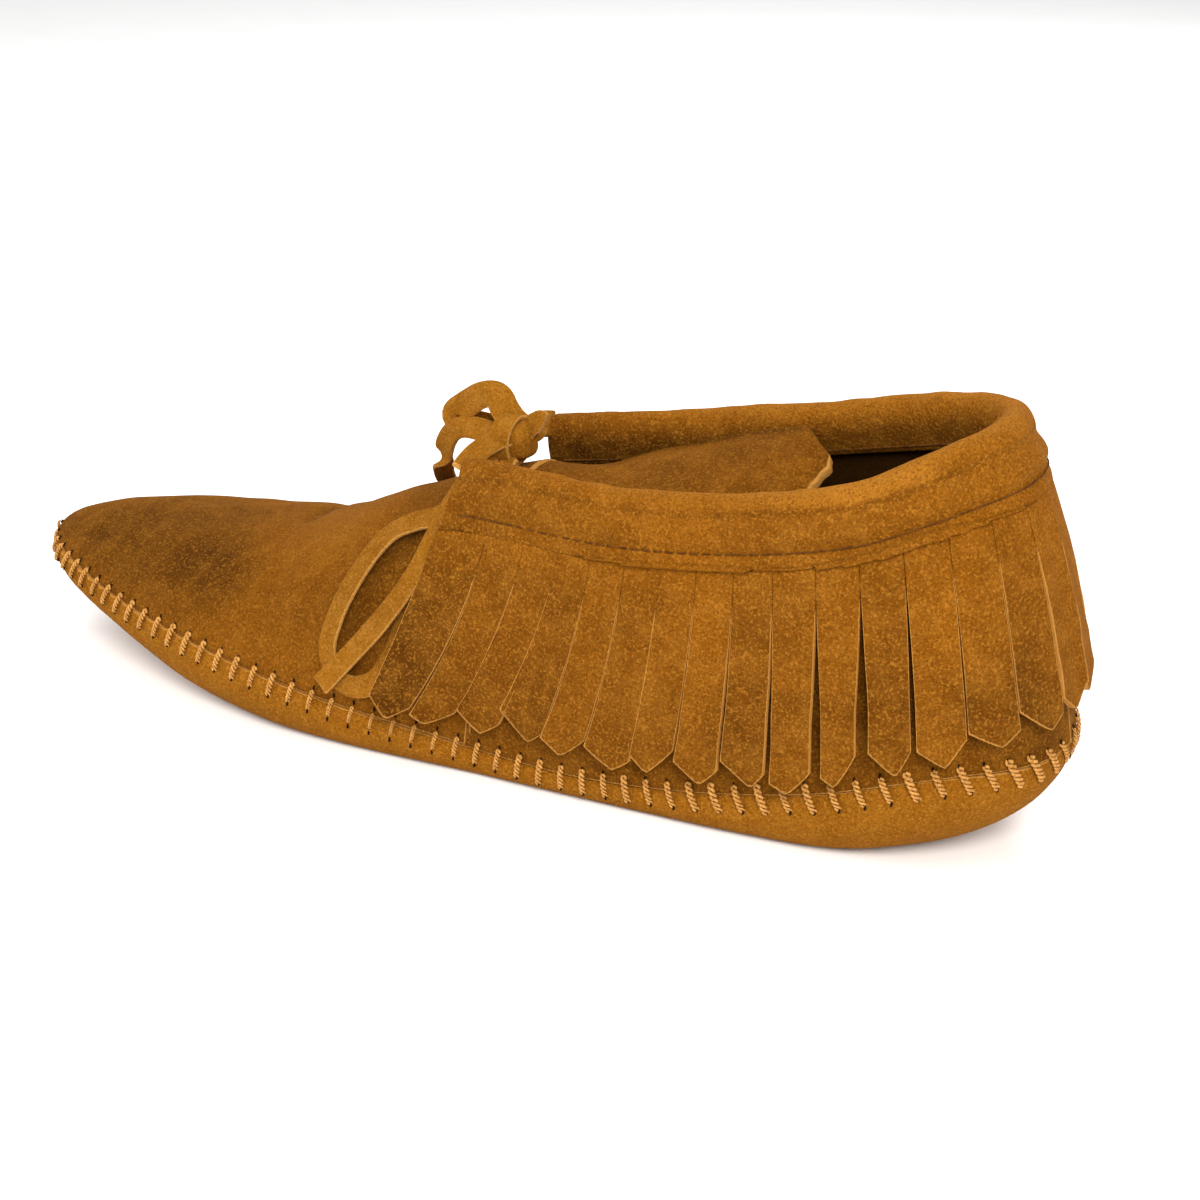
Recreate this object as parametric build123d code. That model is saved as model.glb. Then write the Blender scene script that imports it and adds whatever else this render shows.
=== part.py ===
from build123d import *
import math
import os

# Fringed ankle moccasin, left foot. Millimetres, toe at -X, heel at +X, outer side at -Y, +Z up.
# The origin is on the floor under the middle of the shoe.

# Leather thicknesses and gaps
SOLE_T = 2.2
SOLE_BULGE = 0.9
VAMP_T = 1.8
QUARTER_T = 1.8
BAND_T = 1.3
STRIP_T = 1.5
TONGUE_T = 1.6
SEAM_GAP = 0.4
PAD_T = 4.0
COVER_T = 1.0

# Fringe
STRIPS_PER_SIDE = 16
STRIP_GAP = 0.7
POINT_LENGTH = 5.0
HINGE_DROP = 1.3
SKIRT_STANDOFF = 3.0

# Lace, a flat strip drawn as a round cord of the same section
LACE_R = 1.3
TUNNEL_R = 1.05
STITCH_PITCH = 5.2

# Height of the seam between sole and upper along X
SEAM_Z = [(-134, 24.5), (-128, 24.2), (-117, 23.5), (-98, 21), (-75, 18.5), (-50, 15), (-25, 11), (-8, 8.8),
          (10, 7), (30, 6), (50, 7.5), (70, 11), (88, 15.5), (103, 20.5), (115, 23.5), (124, 24.3), (134, 24.3)]
# Seam outline, outer side then inner side, toe to heel
SEAM_OUTER = [(-132, 0), (-129, -8), (-119, -16.5), (-99, -25.2), (-75, -32), (-50, -35.5), (-25, -34.5), (0, -32),
              (25, -30.5), (50, -30), (75, -30), (100, -28.5), (118, -23), (128, -13), (131, 0)]
SEAM_INNER = [(-130, 8.5), (-120, 19), (-101, 28.8), (-75, 35.5), (-50, 38), (-25, 36.5), (0, 33.3),
              (25, 31), (50, 30), (75, 30), (100, 28.5), (118, 23), (128, 13)]
# Where the sole leaves the floor, one point for each seam point
FLOOR_OUTER = [(-72, 0), (-71.5, -4), (-70, -9), (-66, -16), (-56, -23), (-41, -28.5), (-20, -29.5),
               (0, -28.5), (24, -27.5), (47, -26.5), (67, -25), (82, -22.5), (94, -17.5), (100.5, -10), (102, 0)]
FLOOR_INNER = [(-71.5, 4.5), (-69.5, 10), (-65, 18), (-56, 25), (-41, 30), (-20, 31), (0, 29.5),
               (24, 27.5), (47, 26.5), (67, 25), (82, 22.5), (94, 17.5), (100.5, 10)]
# Ridge of the vamp along X
RIDGE_Z = [(-132, 25), (-130, 26.8), (-126, 28.8), (-119, 31), (-112, 32.5), (-98, 34.4), (-80, 36.6),
           (-60, 39.2), (-48, 42), (-38, 46), (-28, 50.6), (-18, 54.8), (-8, 58.8), (7, 63.6)]
HALF_OUTER = [(-132, 3.5), (-130.5, 6.4), (-126.5, 11), (-117, 17.2), (-98, 25.5), (-75, 32), (-50, 35.5), (-25, 34.5),
              (0, 32), (8, 31.6)]
HALF_INNER = [(-132, 3.5), (-130.5, 7), (-126.5, 12.8), (-117, 20.2), (-98, 29.2), (-75, 35.5), (-50, 38), (-25, 36.5),
              (0, 33.3), (8, 32.8)]
# Side wall on the outer side: foot of the wall and top fold, front to heel
WALL_FOOT = [(-19, -33.9, 10), (-8, -32.8, 8.8), (10, -31.5, 7), (30, -30.7, 6), (50, -30.2, 7.5),
             (70, -30.1, 11), (88, -29.6, 15.5), (103, -28, 20.5), (115, -24, 23.5), (124, -17.5, 24.3),
             (129.2, -9.5, 24.3), (131, 0, 24.3)]
WALL_TOP = [(-5, -19.5), (4, -20.5), (15, -22), (32, -24), (48, -25), (64, -25.5), (78.5, -25), (90.5, -22.8),
            (100, -18.8), (107.3, -13.2), (111.6, -6.8), (112.9, 0)]
RIM_OUTER_Z = [69.5, 71, 71.4, 71.6, 72.7, 75.2, 78.2, 81.6, 86, 89.4, 91, 91.6]
RIM_INNER_Z = [67, 69, 70.6, 73.2, 76.2, 79.6, 83, 86.2, 88.9, 90.6, 91.3, 91.6]
# Lower edge of the fringe band, and strip tips, as heights over the same stations
SLIT_Z = [56, 57, 57, 57.5, 59.5, 62, 64.5, 69, 74, 76, 77, 77]
TIP_Z = [15, 14.5, 14, 13.5, 13.5, 15, 19, 24.5, 29, 32, 34, 35]


def smooth(table, x):
    """Cubic curve through (x, value) pairs."""
    if x <= table[0][0]:
        return table[0][1]
    if x >= table[-1][0]:
        return table[-1][1]
    i = max(k for k in range(len(table) - 1) if table[k][0] <= x)

    def slope(k):
        a, b = table[max(k - 1, 0)], table[min(k + 1, len(table) - 1)]
        return (b[1] - a[1]) / (b[0] - a[0])

    (x0, y0), (x1, y1) = table[i], table[i + 1]
    h = x1 - x0
    t = (x - x0) / h
    return ((2 * t**3 - 3 * t**2 + 1) * y0 + (t**3 - 2 * t**2 + t) * h * slope(i)
            + (-2 * t**3 + 3 * t**2) * y1 + (t**3 - t**2) * h * slope(i + 1))


def along(values, u):
    """Cubic curve through values at 0, 1, 2 ..."""
    return smooth(list(enumerate(values)), u)


def unit(v):
    n = math.sqrt(sum(c * c for c in v))
    return tuple(c / n for c in v)


def cross(a, b):
    return (a[1] * b[2] - a[2] * b[1], a[2] * b[0] - a[0] * b[2], a[0] * b[1] - a[1] * b[0])


def save(name, shape):
    shape.label = name
    export_step(shape, f"parts/{name}.step")
    print(name, round(shape.volume), "mm3")


# ---------------------------------------------------------------- sole cup
SEAM = SEAM_OUTER + SEAM_INNER[::-1]
FLOOR = FLOOR_OUTER + FLOOR_INNER[::-1]
ROUNDING = [1.7 if x < -90 else 1.6 if x > 108 else 2.0 for x, y in SEAM]


def sole_outline(z, inset):
    """Closed outline of the sole at one height, moved inward by inset."""
    points = []
    moves = []
    for (sx, sy), (fx, fy), p in zip(SEAM, FLOOR, ROUNDING):
        q = min(z / smooth(SEAM_Z, sx), 1.0)
        t = (1 - (1 - q) ** p) ** (1 / p)
        points.append((fx + (sx - fx) * t, fy + (sy - fy) * t))
        moves.append(inset - SOLE_BULGE * math.sin(math.pi * q))
    out = []
    n = len(points)
    for k, (x, y) in enumerate(points):
        (ax, ay), (bx, by) = points[k - 1], points[(k + 1) % n]
        d = math.hypot(bx - ax, by - ay)
        out.append((x - (by - ay) / d * moves[k], y + (bx - ax) / d * moves[k]))
    return out


def outline_solid(levels, inset, drop):
    wires = []
    for z in levels:
        pts = [Vector(x, y, z) for x, y in sole_outline(z - drop, inset)]
        wires.append(Wire([Edge.make_spline(pts, periodic=True)]))
    return Solid.make_loft(wires)


def above_seam(gap):
    """Everything above the seam line."""
    xs = [-145 + 6 * k for k in range(50)]
    top = [(x, smooth(SEAM_Z, x) + gap) for x in xs]
    edge = Edge.make_spline([Vector(x, -60, z) for x, z in top])
    a, b = edge @ 0, edge @ 1
    wire = Wire([edge, Edge.make_line(b, (b.X, -60, 200)), Edge.make_line((b.X, -60, 200), (a.X, -60, 200)),
                 Edge.make_line((a.X, -60, 200), a)])
    return extrude(Face(wire), 120, dir=(0, 1, 0))


ABOVE = above_seam(0.0)
ABOVE_GAP = above_seam(SEAM_GAP)
sole = outline_solid([0, 1, 2.5, 4.5, 7, 10, 14, 18, 22, 27], 0.0, 0.0)
hollow = outline_solid([SOLE_T, 3.2, 4.7, 6.7, 9.2, 12.2, 16.2, 20.2, 24.2, 29], 1.5, SOLE_T)
save("sole_cup", sole - hollow - ABOVE)


# ---------------------------------------------------------------- insole
def pad(z0, height, inset):
    pts = [Vector(x, y, z0) for x, y in sole_outline(z0 - SOLE_T, inset)]
    return extrude(Face(Wire([Edge.make_spline(pts, periodic=True)])), height, dir=(0, 0, 1))


save("insole_pad", pad(SOLE_T + 0.3, PAD_T, 2.6))
save("insole_cover", pad(SOLE_T + PAD_T + 0.4, COVER_T, 3.4))


# ---------------------------------------------------------------- vamp
def vamp_section(x, x_shape, inset):
    """Dome section across the shoe at one X."""
    outer = smooth(HALF_OUTER, x_shape) - inset
    inner = smooth(HALF_INNER, x_shape) - inset
    base = smooth(SEAM_Z, x_shape) - 3
    top = smooth(RIDGE_Z, x_shape) - inset
    mid = (inner - outer) / 2
    half = (inner + outer) / 2
    arc = []
    for k in range(17):
        t = math.pi * k / 16
        arc.append(Vector(x, mid - half * math.cos(t), base + (top - base) * math.sin(t) ** 1.05))
    edge = Edge.make_spline(arc)
    return Wire([edge, Edge.make_line(arc[-1], arc[0])])


VAMP_X = [-131.8, -130.4, -127.5, -122.5, -114, -104, -92, -78, -64, -50, -38, -27, -16, -6, 7]
dome = Solid.make_loft([vamp_section(x, x, 0.0) for x in VAMP_X])
core = Solid.make_loft([vamp_section(x + 1.5, x, 1.25) for x in VAMP_X[:-1]] + [vamp_section(9, 7.5, 1.25)])
save("vamp", (dome - core) & ABOVE_GAP)


# ---------------------------------------------------------------- side walls
def rim(u, side):
    """Top of the fold at station u, measured as on the outer side."""
    heights = RIM_OUTER_Z if side > 0 else RIM_INNER_Z
    return [along([p[0] for p in WALL_TOP], u), along([p[1] for p in WALL_TOP], u), along(heights, u)]


def wall(u, z, side, stand):
    """Point of the side wall at station u and height z, moved outward by stand."""
    foot = [along([p[k] for p in WALL_FOOT], u) for k in range(3)]
    top = rim(u, side)
    v = (z - foot[2]) / (top[2] - foot[2])
    swell = 2.2 * math.sin(math.pi * min(max(v, 0), 1))
    x = foot[0] + (top[0] - foot[0]) * v
    y = foot[1] + (top[1] - foot[1]) * v
    nx, ny = wall_normal(u)
    return (x + nx * (swell + stand), side * (y + ny * (swell + stand)), z)


def wall_normal(u):
    a = [along([p[k] for p in WALL_FOOT], max(u - 0.05, 0)) for k in range(2)]
    b = [along([p[k] for p in WALL_FOOT], min(u + 0.05, 11)) for k in range(2)]
    if u > 10.95:
        return (1.0, 0.0)
    d = math.hypot(b[0] - a[0], b[1] - a[1])
    return ((b[1] - a[1]) / d, -(b[0] - a[0]) / d)


def sheet(rows, thickness):
    face = Face.make_surface_from_array_of_points([[Vector(*p) for p in row] for row in rows], tol=0.05,
                                                  min_deg=3, max_deg=5)
    return Solid.thicken(face, thickness)


def quarter(side):
    rows = []
    for k in range(22):
        u = 1.9 + (10.91 - 1.9) * k / 21
        top = rim(u, side)[2] - 7
        foot = along([p[2] for p in WALL_FOOT], u) + SEAM_GAP
        rows.append([wall(u, foot + (top - foot) * j / 6, side, -0.2) for j in range(7)])
    return sheet(rows, -QUARTER_T * side)


save("outer_quarter", quarter(1))
save("inner_quarter", quarter(-1))

# ---------------------------------------------------------------- fringe band
FOLD = [(-2.5, -12), (-2.8, -9), (-3.0, -6), (-2.9, -3.5), (-2.1, -1.3), (0, -0.2), (2.1, -1.3), (2.9, -3.5),
        (3.1, -6)]


def band_rows(side, us):
    rows = []
    for u in us:
        top = rim(u, side)
        nx, ny = wall_normal(u)
        row = [(top[0] + nx * n, side * (top[1] + ny * n), top[2] + dz) for n, dz in FOLD]
        low = along(SLIT_Z, u)
        start = top[2] - 6
        for j in range(1, 6):
            z = start + (low - start) * j / 5
            row.append(wall(u, z, side, SKIRT_STANDOFF))
        rows.append(row)
    return rows


US = [0.8 + (11 - 0.8) * k / 35 for k in range(36)]
band = sheet(band_rows(1, US) + band_rows(-1, US[:-1][::-1]), BAND_T)
save("fringe_band", band)


# ---------------------------------------------------------------- fringe strips
def skirt_edge(z_list, first, last):
    """Equal steps along the skirt at the given heights: list of station values."""
    us = [first + (last - first) * k / 400 for k in range(401)]
    pts = [wall(u, along(z_list, u), 1, SKIRT_STANDOFF) for u in us]
    run = [0.0]
    for a, b in zip(pts, pts[1:]):
        run.append(run[-1] + math.dist(a, b))
    out = []
    for k in range(STRIPS_PER_SIDE + 1):
        goal = run[-1] * k / STRIPS_PER_SIDE
        i = min(range(401), key=lambda m: abs(run[m] - goal))
        out.append(us[i])
    return out


ROOTS = skirt_edge(SLIT_Z, 0.6, 11)
TIPS = skirt_edge(TIP_Z, 0.25, 11)


def front_lift(u):
    """Extra stand-off of the first strips, which lie over the lace."""
    return 4.0 * max(0.0, 1 - max(u - 0.9, 0) / 1.4)


def strip_frame(k, side):
    ua, ub = ROOTS[k], ROOTS[k + 1]
    um = (ua + ub) / 2
    ut = (TIPS[k] + TIPS[k + 1]) / 2
    stand = SKIRT_STANDOFF + BAND_T / 2
    a = wall(ua, along(SLIT_Z, ua), side, stand)
    b = wall(ub, along(SLIT_Z, ub), side, stand)
    tip = wall(ut, along(TIP_Z, ut), side, SKIRT_STANDOFF + 1.8 + front_lift(um))
    mid = tuple((p + q) / 2 for p, q in zip(a, b))
    along_root = unit(tuple(q - p for p, q in zip(a, b)))
    down = tuple(t - m for t, m in zip(tip, mid))
    out = unit(cross(down, along_root)) if side > 0 else unit(cross(along_root, down))
    return mid, along_root, down, out, math.dist(a, b)


def strip(k, side):
    mid, root_dir, down, out, width = strip_frame(k, side)
    below = unit(cross(root_dir, out)) if side > 0 else unit(cross(out, root_dir))
    lean = sum(d * r for d, r in zip(down, root_dir))
    length = sum(d * r for d, r in zip(down, below))
    half = (width - STRIP_GAP) / 2
    shape = [(-half, -HINGE_DROP), (half, -HINGE_DROP), (half + lean * 0.9, -length + POINT_LENGTH),
             (lean, -length), (-half + lean * 0.9, -length + POINT_LENGTH)]
    pts = []
    for s, d in shape:
        pts.append(Vector(*(m + s * r - d * b for m, r, b in zip(mid, root_dir, below))))
    face = Face(Wire.make_polygon(pts, close=True))
    return extrude(face, STRIP_T, dir=tuple(-c for c in out))


for side, name in ((1, "outer"), (-1, "inner")):
    for k in range(STRIPS_PER_SIDE):
        save(f"fringe_{name}_{k + 1:02d}", strip(k, side))
        m, r, d, o, w = strip_frame(k, side)
        below = unit(cross(r, o)) if side > 0 else unit(cross(o, r))
        hinge = tuple(p + HINGE_DROP * q for p, q in zip(m, below))
        axis = r if side < 0 else tuple(-c for c in r)
        print("HINGE", f"fringe_{name}_{k + 1:02d}", [round(c, 3) for c in hinge], [round(c, 5) for c in axis])

# ---------------------------------------------------------------- tongue
TONGUE = [[(8.4, -13, 56.6), (8.4, -5, 60.6), (8.4, 5, 61), (8.4, 13, 57.6)],
          [(18, -14.5, 57.5), (18, -5, 61.6), (18, 5, 62.6), (18, 14.5, 60.2)],
          [(30, -16, 58), (30, -5.5, 62), (30, 6, 64.8), (30, 16.5, 65)],
          [(42, -17, 57.5), (42, -6, 62), (43, 6, 67), (43, 17.5, 69)],
          [(53, -17.5, 56.5), (54, -6, 62.3), (56, 6.5, 69), (57, 18, 73)],
          [(60, -16, 56.5), (64, -6, 63.5), (68, 7, 71.5), (71, 16, 77)]]
save("tongue", sheet(TONGUE, TONGUE_T))


# ---------------------------------------------------------------- lace
def cord(name, pts, radii):
    """Round cord along straight runs and tangent arcs."""
    path = Wire(FilletPolyline(*pts, radius=radii).edges())
    start = path @ 0
    section = Plane(origin=start, z_dir=path % 0) * Circle(LACE_R)
    save(name, sweep(section, path=path))
    print("CORD", name, "length", round(path.length, 1), "radii", radii)


def turn_radii(pts, least):
    out = []
    for a, b, c in zip(pts, pts[1:], pts[2:]):
        p = unit(tuple(y - x for x, y in zip(a, b)))
        q = unit(tuple(y - x for x, y in zip(b, c)))
        half = math.acos(max(-1.0, min(1.0, sum(x * y for x, y in zip(p, q))))) / 2
        r = 0.45 * min(math.dist(a, b), math.dist(b, c)) / math.tan(half)
        out.append(round(max(min(r, 60.0), least), 2))
    return out


LACE_NEAR = [(0, -20.3, 67.8), (-1.2, -14, 69.4), (2.4, -4.4, 70.8), (1.2, -3.2, 65.8), (-2, -10.4, 60.6),
             (-7.6, -17, 54.2), (-14, -17.6, 52.4), (-20.6, -19.6, 48.8), (-24.8, -26.2, 40.6), (-27.3, -31.6, 32),
             (-27.9, -35.2, 24.4), (-23.2, -36.6, 18.2), (-15.6, -35.8, 18.8), (-11, -33.4, 26.6), (-9.4, -30.2, 35.4),
             (-6, -26.2, 43.6), (-2.4, -20.6, 51.9), (0.6, -14, 58.4), (3.8, -6, 66.4)]
LACE_NEAR_END = [(-1.2, -6, 67.2), (-2.8, -11, 63.8), (-4.6, -17, 59), (-5.8, -22.8, 52.6), (-7.6, -27.8, 45.4),
                 (-10.4, -31.2, 39.6), (-16.6, -35, 30.4), (-26.2, -39.7, 18.9)]
LACE_FAR = [(0, 20.3, 65.8), (-0.6, 12.5, 68.2), (3.6, 4, 69.6), (3.4, -0.6, 71.4), (-0.4, -1.4, 75.2),
            (-2.4, -0.6, 78.6), (-7.5, 0.8, 77.4), (-12.4, 1.8, 73.8), (-15.9, 2.6, 71.4), (-15.6, 3.4, 69.2),
            (-11, 4.4, 68.8), (-5, 4, 68.4), (0.5, 1.8, 68)]
LACE_FAR_END = [(0.5, -1.6, 68.8), (-7.5, -0.4, 69.8), (-14.6, 1.4, 68.6), (-19.4, 4, 63.4), (-22.5, 8, 56.6),
                (-26, 13.4, 51.8), (-29.5, 21.5, 45.4), (-31.2, 29.5, 37.4), (-32.4, 35.2, 28.6)]
for name, pts in (("lace_near", LACE_NEAR), ("lace_near_end", LACE_NEAR_END),
                  ("lace_far", LACE_FAR), ("lace_far_end", LACE_FAR_END)):
    cord(name, pts, turn_radii(pts, 2.0))

knot = fillet(Box(11, 10, 10.5).edges(), 4.2)
save("lace_knot", Pos(2.6, -2.0, 69.3) * knot)

# The held part of the lace, inside the fold
TUNNEL_U = [1.0 + (11 - 1.0) * k / 14 for k in range(15)]


def tunnel_point(u, side):
    top = rim(u, side)
    return Vector(top[0], side * top[1], top[2] - 3.4)


tunnel_pts = [tunnel_point(u, 1) for u in TUNNEL_U] + [tunnel_point(u, -1) for u in TUNNEL_U[:-1][::-1]]
tunnel_path = Wire([Edge.make_spline(tunnel_pts)])
save("lace_in_tunnel", sweep(Plane(origin=tunnel_path @ 0, z_dir=tunnel_path % 0) * Circle(TUNNEL_R),
                             path=tunnel_path))


# ---------------------------------------------------------------- threads
def bar(centre, direction, out, length, width, depth):
    plane = Plane(origin=centre, x_dir=direction, z_dir=out)
    return plane * Box(length, width, depth)


def seam_stitches():
    n = len(SEAM)
    loop = SEAM[-3:] + SEAM + SEAM[:4]
    xs = [p[0] for p in loop]
    ys = [p[1] for p in loop]
    us = [3 + n * k / 1200 for k in range(1201)]
    pts = [(along(xs, u), along(ys, u)) for u in us]
    bars = []
    run = STITCH_PITCH / 2
    for a, b in zip(pts, pts[1:]):
        step = math.dist(a, b)
        if run + step >= STITCH_PITCH:
            nx, ny = (b[1] - a[1]) / step, -(b[0] - a[0]) / step
            z = smooth(SEAM_Z, b[0]) + 0.2
            lean = 0.35 if b[0] < 0 else -0.35
            tx, ty = (b[0] - a[0]) / step, (b[1] - a[1]) / step
            d = Vector(tx * lean, ty * lean, 1.0).normalized()
            centre = (b[0] + nx * 1.25, b[1] + ny * 1.25, z)
            bars.append(bar(centre, d, Vector(nx, ny, 0), 5.6, 1.0, 0.8))
            run -= STITCH_PITCH
        run += step
    return bars


stitches = seam_stitches()
print("seam stitches", len(stitches))
save("sole_stitches", Compound(children=stitches))

rows = []
for side in (1, -1):
    for k in range(46):
        u = 1.0 + (10.95 - 1.0) * k / 45
        z = rim(u, side)[2] - 11
        a = wall(u - 0.03, z, side, SKIRT_STANDOFF + BAND_T + 0.45)
        b = wall(min(u + 0.03, 10.98), z, side, SKIRT_STANDOFF + BAND_T + 0.45)
        nx, ny = wall_normal(u)
        rows.append(bar(a, Vector(*(q - p for p, q in zip(a, b))), Vector(nx, side * ny, 0), 1.8, 0.6, 0.5))
save("collar_stitches", Compound(children=rows))
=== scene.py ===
# %% [markdown]
# # A fringed suede moccasin
# This notebook dresses a CAD model of an ankle moccasin.
# The CAD model gives every piece its place, its size and its joint.
# Here each piece gets its soft shape and its suede, thread or foam.
# We begin by loading the frame.
# Most numbers here are in millimetres, and MM turns them into Blender's metres.
# The toe points along -X, the outer side faces -Y, and the floor is at Z = 0.

# %% Load the frame
import math

import bmesh
import bpy
import numpy as np
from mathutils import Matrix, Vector, noise


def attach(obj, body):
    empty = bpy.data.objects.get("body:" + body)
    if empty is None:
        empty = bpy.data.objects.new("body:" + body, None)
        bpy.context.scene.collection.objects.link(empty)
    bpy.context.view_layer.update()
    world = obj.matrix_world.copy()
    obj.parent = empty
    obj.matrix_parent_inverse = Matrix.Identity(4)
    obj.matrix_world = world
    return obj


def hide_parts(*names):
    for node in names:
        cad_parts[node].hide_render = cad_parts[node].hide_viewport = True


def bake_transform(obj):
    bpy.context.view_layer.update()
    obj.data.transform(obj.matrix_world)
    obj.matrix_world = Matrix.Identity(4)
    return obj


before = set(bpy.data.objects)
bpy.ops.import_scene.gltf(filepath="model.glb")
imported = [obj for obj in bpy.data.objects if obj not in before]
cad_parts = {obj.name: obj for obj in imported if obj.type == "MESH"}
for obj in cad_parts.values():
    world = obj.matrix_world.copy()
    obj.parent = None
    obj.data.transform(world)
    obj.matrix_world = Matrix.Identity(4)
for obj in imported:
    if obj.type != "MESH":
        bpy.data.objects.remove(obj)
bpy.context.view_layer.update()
MM = 0.001

# %% [markdown]
# ## The camera
# The camera stands in front of the outer side, a little towards the heel.
# It looks down by 24 degrees, from less than half a metre away.
# A Track To constraint could aim it, but a rotation worked out once needs no extra object.
# The long lens keeps the toe and the heel in natural proportion.

# %% Camera
AZIMUTH, ELEVATION, DISTANCE = 28.0, 24.0, 0.450
TARGET = Vector((0.031, -0.023, 0.040))
LENS, SENSOR = 63.75, 36
SHIFT_X, SHIFT_Y = 0.0125, 0.0167
a, e = math.radians(AZIMUTH), math.radians(ELEVATION)
back = Vector((math.sin(a) * math.cos(e), -math.cos(a) * math.cos(e), math.sin(e)))
camera_data = bpy.data.cameras.new("camera")
camera_data.lens = LENS
camera_data.sensor_width = SENSOR
camera_data.shift_x = SHIFT_X
camera_data.shift_y = SHIFT_Y
camera = bpy.data.objects.new("camera", camera_data)
camera.location = TARGET + back * DISTANCE
camera.rotation_euler = (-back).to_track_quat("-Z", "Y").to_euler()
bpy.context.scene.collection.objects.link(camera)
bpy.context.scene.camera = camera
print("camera at", [round(c, 3) for c in camera.location])

# %% [markdown]
# ## The lace routes
# On the real shoe one flat lace runs round the ankle and is tied in a bow.
# Here it has four free parts: a loop and a loose end on each side of the knot.
# A Bezier curve would need handles at every point.
# A NURBS curve is used instead, because it bends smoothly from few control points.
# Those points are the corners of the path that the CAD cord takes.

# %% Lace routes
LACE_W, LACE_T = 5.0, 1.3
ROUTES = {
    "lace_near": [(0, -20.3, 67.8), (-1.2, -14, 69.4), (2.4, -4.4, 70.8), (1.2, -3.2, 65.8),
                  (-2, -10.4, 60.6), (-7.6, -17, 54.2), (-14, -17.6, 52.4), (-20.6, -19.6, 48.8),
                  (-24.8, -26.2, 40.6), (-27.3, -31.6, 32), (-27.9, -35.2, 24.4),
                  (-23.2, -36.6, 18.2), (-15.6, -35.8, 18.8), (-11, -33.4, 26.6),
                  (-9.4, -30.2, 35.4), (-6, -26.2, 43.6), (-2.4, -20.6, 51.9), (0.6, -14, 58.4),
                  (3.8, -6, 66.4)],
    "lace_near_end": [(-1.2, -6, 67.2), (-2.8, -11, 63.8), (-4.6, -17, 59), (-5.8, -22.8, 52.6),
                      (-7.6, -27.8, 45.4), (-10.4, -31.2, 39.6), (-16.6, -35, 30.4),
                      (-26.2, -39.7, 18.9)],
    "lace_far": [(0, 20.3, 65.8), (-0.6, 12.5, 68.2), (3.6, 4, 69.6), (3.4, -0.6, 71.4),
                 (-0.4, -1.4, 75.2), (-2.4, -0.6, 78.6), (-7.5, 0.8, 77.4), (-12.4, 1.8, 73.8),
                 (-15.9, 2.6, 71.4), (-15.6, 3.4, 69.2), (-11, 4.4, 68.8), (-5, 4, 68.4),
                 (0.5, 1.8, 68)],
    "lace_far_end": [(0.5, -1.6, 68.8), (-7.5, -0.4, 69.8), (-14.6, 1.4, 68.6), (-19.4, 4, 63.4),
                     (-22.5, 8, 56.6), (-26, 13.4, 51.8), (-29.5, 21.5, 45.4), (-31.2, 29.5, 37.4),
                     (-32.4, 35.2, 28.6)],
}


def nurbs_points(name, points):
    """Points in millimetres along a NURBS curve with these control points."""
    data = bpy.data.curves.new(name + "_route", "CURVE")
    data.dimensions = "3D"
    data.resolution_u = 16
    spline = data.splines.new("NURBS")
    spline.points.add(len(points) - 1)
    for control, p in zip(spline.points, points):
        control.co = (p[0] * MM, p[1] * MM, p[2] * MM, 1)
    spline.order_u = 3
    spline.use_endpoint_u = True
    route = bpy.data.objects.new(name + "_route", data)
    bpy.context.scene.collection.objects.link(route)
    depsgraph = bpy.context.evaluated_depsgraph_get()
    mesh = bpy.data.meshes.new_from_object(route.evaluated_get(depsgraph))
    out = np.array([v.co for v in mesh.vertices]) / MM
    bpy.data.objects.remove(route)
    bpy.data.meshes.remove(mesh)
    return out


def length_of(points):
    return float(np.linalg.norm(np.diff(points, axis=0), axis=1).sum())


LACES = {name: nurbs_points(name, points) for name, points in ROUTES.items()}
for name, points in LACES.items():
    print(name, round(length_of(points), 1), "mm long")

# %% [markdown]
# ## The shape of the shoe
# The same tables as in the CAD model describe the shoe in millimetres.
# SEAM, FLOOR and HALF give outlines, RIDGE the top of the vamp, and WALL the side walls.
# A station is a place along a side wall, from 0 at the instep to 11 at the heel.
# Straight lines between the values would show as facets, so a small cubic curve joins them.

# %% Shape tables
SEAM_Z = [(-134, 24.5), (-128, 24.2), (-117, 23.5), (-98, 21), (-75, 18.5), (-50, 15), (-25, 11),
          (-8, 8.8), (10, 7), (30, 6), (50, 7.5), (70, 11), (88, 15.5), (103, 20.5), (115, 23.5),
          (124, 24.3), (134, 24.3)]
SEAM_OUTER = [(-132, 0), (-129, -8), (-119, -16.5), (-99, -25.2), (-75, -32), (-50, -35.5),
              (-25, -34.5), (0, -32), (25, -30.5), (50, -30), (75, -30), (100, -28.5), (118, -23),
              (128, -13), (131, 0)]
SEAM_INNER = [(-130, 8.5), (-120, 19), (-101, 28.8), (-75, 35.5), (-50, 38), (-25, 36.5), (0, 33.3),
              (25, 31), (50, 30), (75, 30), (100, 28.5), (118, 23), (128, 13)]
FLOOR_OUTER = [(-72, 0), (-71.5, -4), (-70, -9), (-66, -16), (-56, -23), (-41, -28.5), (-20, -29.5),
               (0, -28.5), (24, -27.5), (47, -26.5), (67, -25), (82, -22.5), (94, -17.5),
               (100.5, -10), (102, 0)]
FLOOR_INNER = [(-71.5, 4.5), (-69.5, 10), (-65, 18), (-56, 25), (-41, 30), (-20, 31), (0, 29.5),
               (24, 27.5), (47, 26.5), (67, 25), (82, 22.5), (94, 17.5), (100.5, 10)]
RIDGE_Z = [(-132, 25), (-130, 26.8), (-126, 28.8), (-119, 31), (-112, 32.5), (-98, 34.4),
           (-80, 36.6), (-60, 39.2), (-48, 42), (-38, 46), (-28, 50.6), (-18, 54.8), (-8, 58.8),
           (7, 63.6)]
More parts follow.
